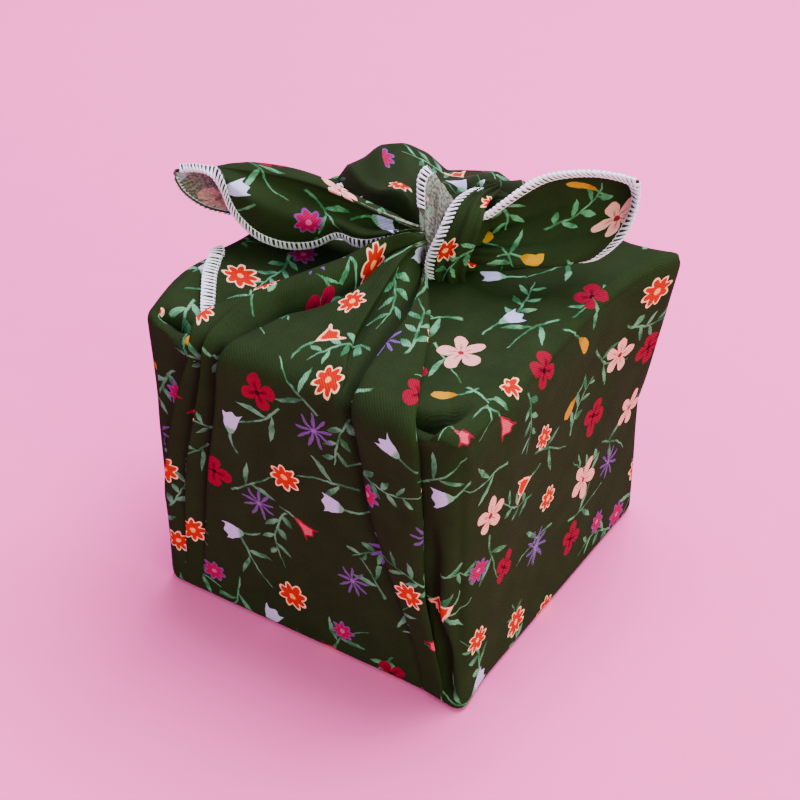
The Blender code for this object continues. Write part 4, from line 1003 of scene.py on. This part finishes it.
# Fine folds fanning out from the knot. Columns: place across at the knot and at the far end, rise, half-width
# in places, and the share of the ear's length over which they die away.
left_ear_folds = [(1.5, 1.3, -1.2, 0.16, 0.55), (0.5, 0.55, -1.0, 0.16, 0.45), (2.5, 2.45, -0.9, 0.14, 0.6),
                  (3.5, 3.4, -1.0, 0.14, 0.5), (0.95, 0.95, 0.8, 0.2, 0.5)]
right_ear_folds = [(1.5, 1.2, -0.9, 0.16, 0.6), (2.5, 2.3, -1.2, 0.16, 0.7), (3.4, 3.0, -0.9, 0.16, 0.5),
                   (0.6, 0.5, -0.8, 0.16, 0.5)]


def ear_sheet(lines, folds, along, across):
    """An ear as a grid: each line smoothed along, then the same curve taken across from line to line.

    Each fold adds its rise times exp(-((w - its place) / half-width)^2), dying away along the ear.
    """
    long = np.stack([smooth_line(line, along) for line in lines])
    points = smooth_line(long.reshape(len(lines), -1), across).reshape(across, along, 3).transpose(1, 0, 2)
    w = np.linspace(0, len(lines) - 1, across)[None, :]
    s = np.linspace(0, 1, along)[:, None]
    relief = np.zeros((along, across))
    for at_knot, at_end, rise, half_width, dies in folds:
        from_fold = w - at_knot - (at_end - at_knot) * s
        relief += rise * np.exp(-(from_fold / half_width) ** 2) * ease(1.2 - s / dies)
    relief *= ease(s / 0.08) * ease(w / 0.4)
    normal = np.cross(np.gradient(points, axis=1), np.gradient(points, axis=0))
    normal /= np.linalg.norm(normal, axis=-1, keepdims=True) + 1e-9
    return points + normal * relief[..., None]


def flat_sheet(points, offset):
    """Flat cloth of a sheet by arc length: across each row from its middle, and along the middle column."""
    middle = points.shape[1] // 2
    across = np.cumsum(np.linalg.norm(np.diff(points, axis=1, prepend=points[:, :1]), axis=2), axis=1)
    along = np.cumsum(np.linalg.norm(np.diff(points[:, middle], axis=0, prepend=points[:1, middle]), axis=1))
    across = across - across[:, middle:middle + 1]
    along = np.broadcast_to(along[:, None], across.shape)
    return corners(np.stack([across + offset[0], along + offset[1]], -1))


def hem_of(grid, column, first, last):
    """The edge, inner line and outward normals of a sheet's hem along its first or last column.

    The way in from the edge is that to the third column from it.
    """
    step = 1 if column == 0 else -1
    edge, near = grid[first:last, column], grid[first:last, column + 3 * step]
    inward = near - edge
    inward /= np.linalg.norm(inward, axis=1, keepdims=True) + 1e-9
    normal = np.cross(inward * step, np.gradient(edge, axis=0))
    normal /= np.linalg.norm(normal, axis=1, keepdims=True) + 1e-9
    return edge, edge + inward * stitch_reach, normal


left_grid = ear_sheet(left_ear_lines, left_ear_folds, along=113, across=71)
left_ear = cloth_piece("left_ear", left_grid, flat_sheet(left_grid, (900.0, 300.0)), [printed, wrong_side])
left_trims = [overlocked("left_ear_front_overlock", *hem_of(left_grid, 0, 15, 111), seed=12),
              overlocked("left_ear_back_overlock", *hem_of(left_grid, -1, 40, 111), seed=13)]
right_grid = ear_sheet(right_ear_lines, right_ear_folds, along=73, across=61)
right_ear = cloth_piece("right_ear", right_grid, flat_sheet(right_grid, (60.0, 700.0)),
                        [printed, wrong_side])
end_edge, end_inner, end_normal = hem_of(right_grid.transpose(1, 0, 2), -1, 1, 60)
right_trims = [overlocked("right_ear_top_overlock", *hem_of(right_grid, 0, 6, 72), seed=14),
               overlocked("right_ear_side_overlock", end_edge, end_inner, -end_normal, seed=15)]

# --- Knot -------------------------------------------------------------------------------------------
# A square knot pulled tight: a rolled core, and over its front the band of the last half-turn, whose
# hem runs slantwise up the middle.
# Lines from the foot of the knot to its head. Columns: x, y, z.
tail_left = [(9.0, 3.4, 128), (7.2, 3.0, 137), (3.4, 5.4, 144), (-0.6, 10.6, 148.6), (-2.8, 13.6, 151.8),
             (-4.4, 16.2, 155.2), (-4.6, 19, 157.6), (-3.6, 21.5, 158.4)]
tail_right = [(14, 4.6, 128), (14, 4.6, 136), (14.5, 6.0, 143), (14.5, 8.0, 147.5), (14, 9.5, 150),
              (13, 11.5, 151.8), (12.2, 13, 152.6), (11.6, 14, 153)]
band_left = [(10.5, 6.5, 125.5), (8.5, 3.0, 127.6), (8.4, 1.3, 132), (9.0, 1.2, 137), (10.2, 1.6, 141.5),
             (11.8, 2.8, 146.4), (12.6, 5.4, 150.8), (12.8, 9, 154), (13.4, 14, 155.8), (15, 20, 156),
             (16.5, 27, 154)]
band_right = [(20, 9, 126), (20.6, 6.8, 129), (21.2, 5.4, 133), (22.2, 5.4, 138), (24, 6.2, 144),
              (24.8, 7.6, 149), (24.8, 10, 152.6), (23.6, 13.5, 154.6), (22.6, 18, 155), (22, 23, 154.4),
              (21, 28, 153)]
core_centre = np.array([13.0, 16.0, 140.0])
core_radii = np.array([11.0, 12.6, 15.0])
core_lean = np.radians(20.0)


def rolled_core(lats, lons):
    """An egg shape leaning back: radii times the unit sphere, narrowed by up to 6 % at the folds.

    The narrowing goes as a cosine of x, six folds from side to side, that slants a little with height.
    """
    lat = np.linspace(-np.pi / 2 + 0.02, np.pi / 2 - 0.02, lats)[:, None]
    lon = np.linspace(0, 2 * np.pi, lons, endpoint=False)[None, :]
    ux, uy, uz = np.cos(lat) * np.cos(lon), np.cos(lat) * np.sin(lon), np.sin(lat) + 0 * lon
    swell = 1.0 - 0.06 * (1 - np.cos(6 * np.pi * ux + 2.0 * uz)) / 2
    px, py, pz = ux * core_radii[0] * swell, uy * core_radii[1] * swell, uz * core_radii[2]
    lean_y = py * np.cos(core_lean) + pz * np.sin(core_lean)
    lean_z = pz * np.cos(core_lean) - py * np.sin(core_lean)
    return np.stack([px, lean_y, lean_z], -1) + core_centre


core_grid = rolled_core(lats=40, lons=64)
wide_core = np.concatenate([core_grid, core_grid[:, :1]], axis=1)
knot_core = cloth_piece("knot_core", core_grid, flat_sheet(wide_core, (1200.0, 20.0)), [printed, wrong_side],
                        around=True)


def band_sheet(left, right, along, across, belly):
    """The band over the knot: straight from edge to edge, bellied away from the core by a half sine.

    Three folds of 0.8 mm run along it, a cosine of the place across.
    """
    a, b = smooth_line(left, along), smooth_line(right, along)
    w = np.linspace(0.0, 1.0, across)[None, :, None]
    straight = a[:, None] + (b - a)[:, None] * w
    away = straight - core_centre
    away /= np.linalg.norm(away, axis=-1, keepdims=True)
    folds = 0.8 * np.cos(2 * np.pi * 3.0 * w + 0.8)
    return straight + away * (belly * np.sin(np.pi * w) + 0.8 + folds * np.sin(np.pi * w))


tail_grid = band_sheet(tail_left, tail_right, along=41, across=15, belly=0.8)
knot_tail = cloth_piece("knot_tail", tail_grid, flat_sheet(tail_grid, (1500.0, 100.0)), [wrong_side, printed])
tail_trim = overlocked("tail_overlock", *hem_of(tail_grid, 0, 17, 40), seed=16)
band_grid = band_sheet(band_left, band_right, along=49, across=41, belly=1.6)
knot_band = cloth_piece("knot_band", band_grid, flat_sheet(band_grid, (1300.0, 400.0)), [printed, wrong_side])
band_trim = overlocked("band_overlock", *hem_of(band_grid, 0, 2, 44), seed=17)

# --- Floor, light and air ---------------------------------------------------------------------------
# A floor of plain pink uncoated paper, matt and faintly grained, and two broad soft lamps: one high up
# behind, and a weaker one low at the right. The air round them lights the rest evenly.
floor_half = 4500.0
floor_mesh = bpy.data.meshes.new("floor")
floor_mesh.from_pydata([(sx * floor_half * MM, sy * floor_half * MM, -0.0003) for sx, sy in
                        ((-1, -1), (1, -1), (1, 1), (-1, 1))], [], [(0, 1, 2, 3)])
paper, paper_tree, paper_shader = new_finish("pink_paper", 0.9)
paper_colour = two_tone(paper_tree, add(paper_tree, "TexCoord")["Object"], 60.0, 4.0, "#ff62bc", "#ff68c0")
paper_tree.links.new(paper_colour, paper_shader.inputs["Base Color"])
paper_shader.inputs["Specular IOR Level"].default_value = 0.1
floor_mesh.materials.append(paper)
floor = bpy.data.objects.new("floor", floor_mesh)
bpy.context.collection.objects.link(floor)

# Columns: name, place, width, watts, colour. Each lamp faces a point 60 mm above the middle of the floor.
for name, place, size, watts, tint in (
        ("overhead_lamp", (80.0, 480.0, 1300.0), 900.0, 45.0, "#fff4ff"),
        ("front_lamp", (1250.0, -520.0, 430.0), 900.0, 22.0, "#ceffa2")):
    lamp = bpy.data.lights.new(name, "AREA")
    lamp.size = size * MM
    lamp.energy = watts
    lamp.color = linear(tint)[:3]
    holder = bpy.data.objects.new(name, lamp)
    holder.location = np.array(place) * MM
    way = np.array([0, 0, 60.0]) - place
    level = np.hypot(way[0], way[1])
    holder.rotation_euler = (np.arctan2(level, -way[2]), 0.0, np.arctan2(-way[0], way[1]))
    bpy.context.collection.objects.link(holder)

air = bpy.data.worlds.new("studio_air")
air.use_nodes = True
air.node_tree.nodes["Background"].inputs["Color"].default_value = linear("#f3f3f0")
air.node_tree.nodes["Background"].inputs["Strength"].default_value = 1.1
bpy.context.scene.world = air
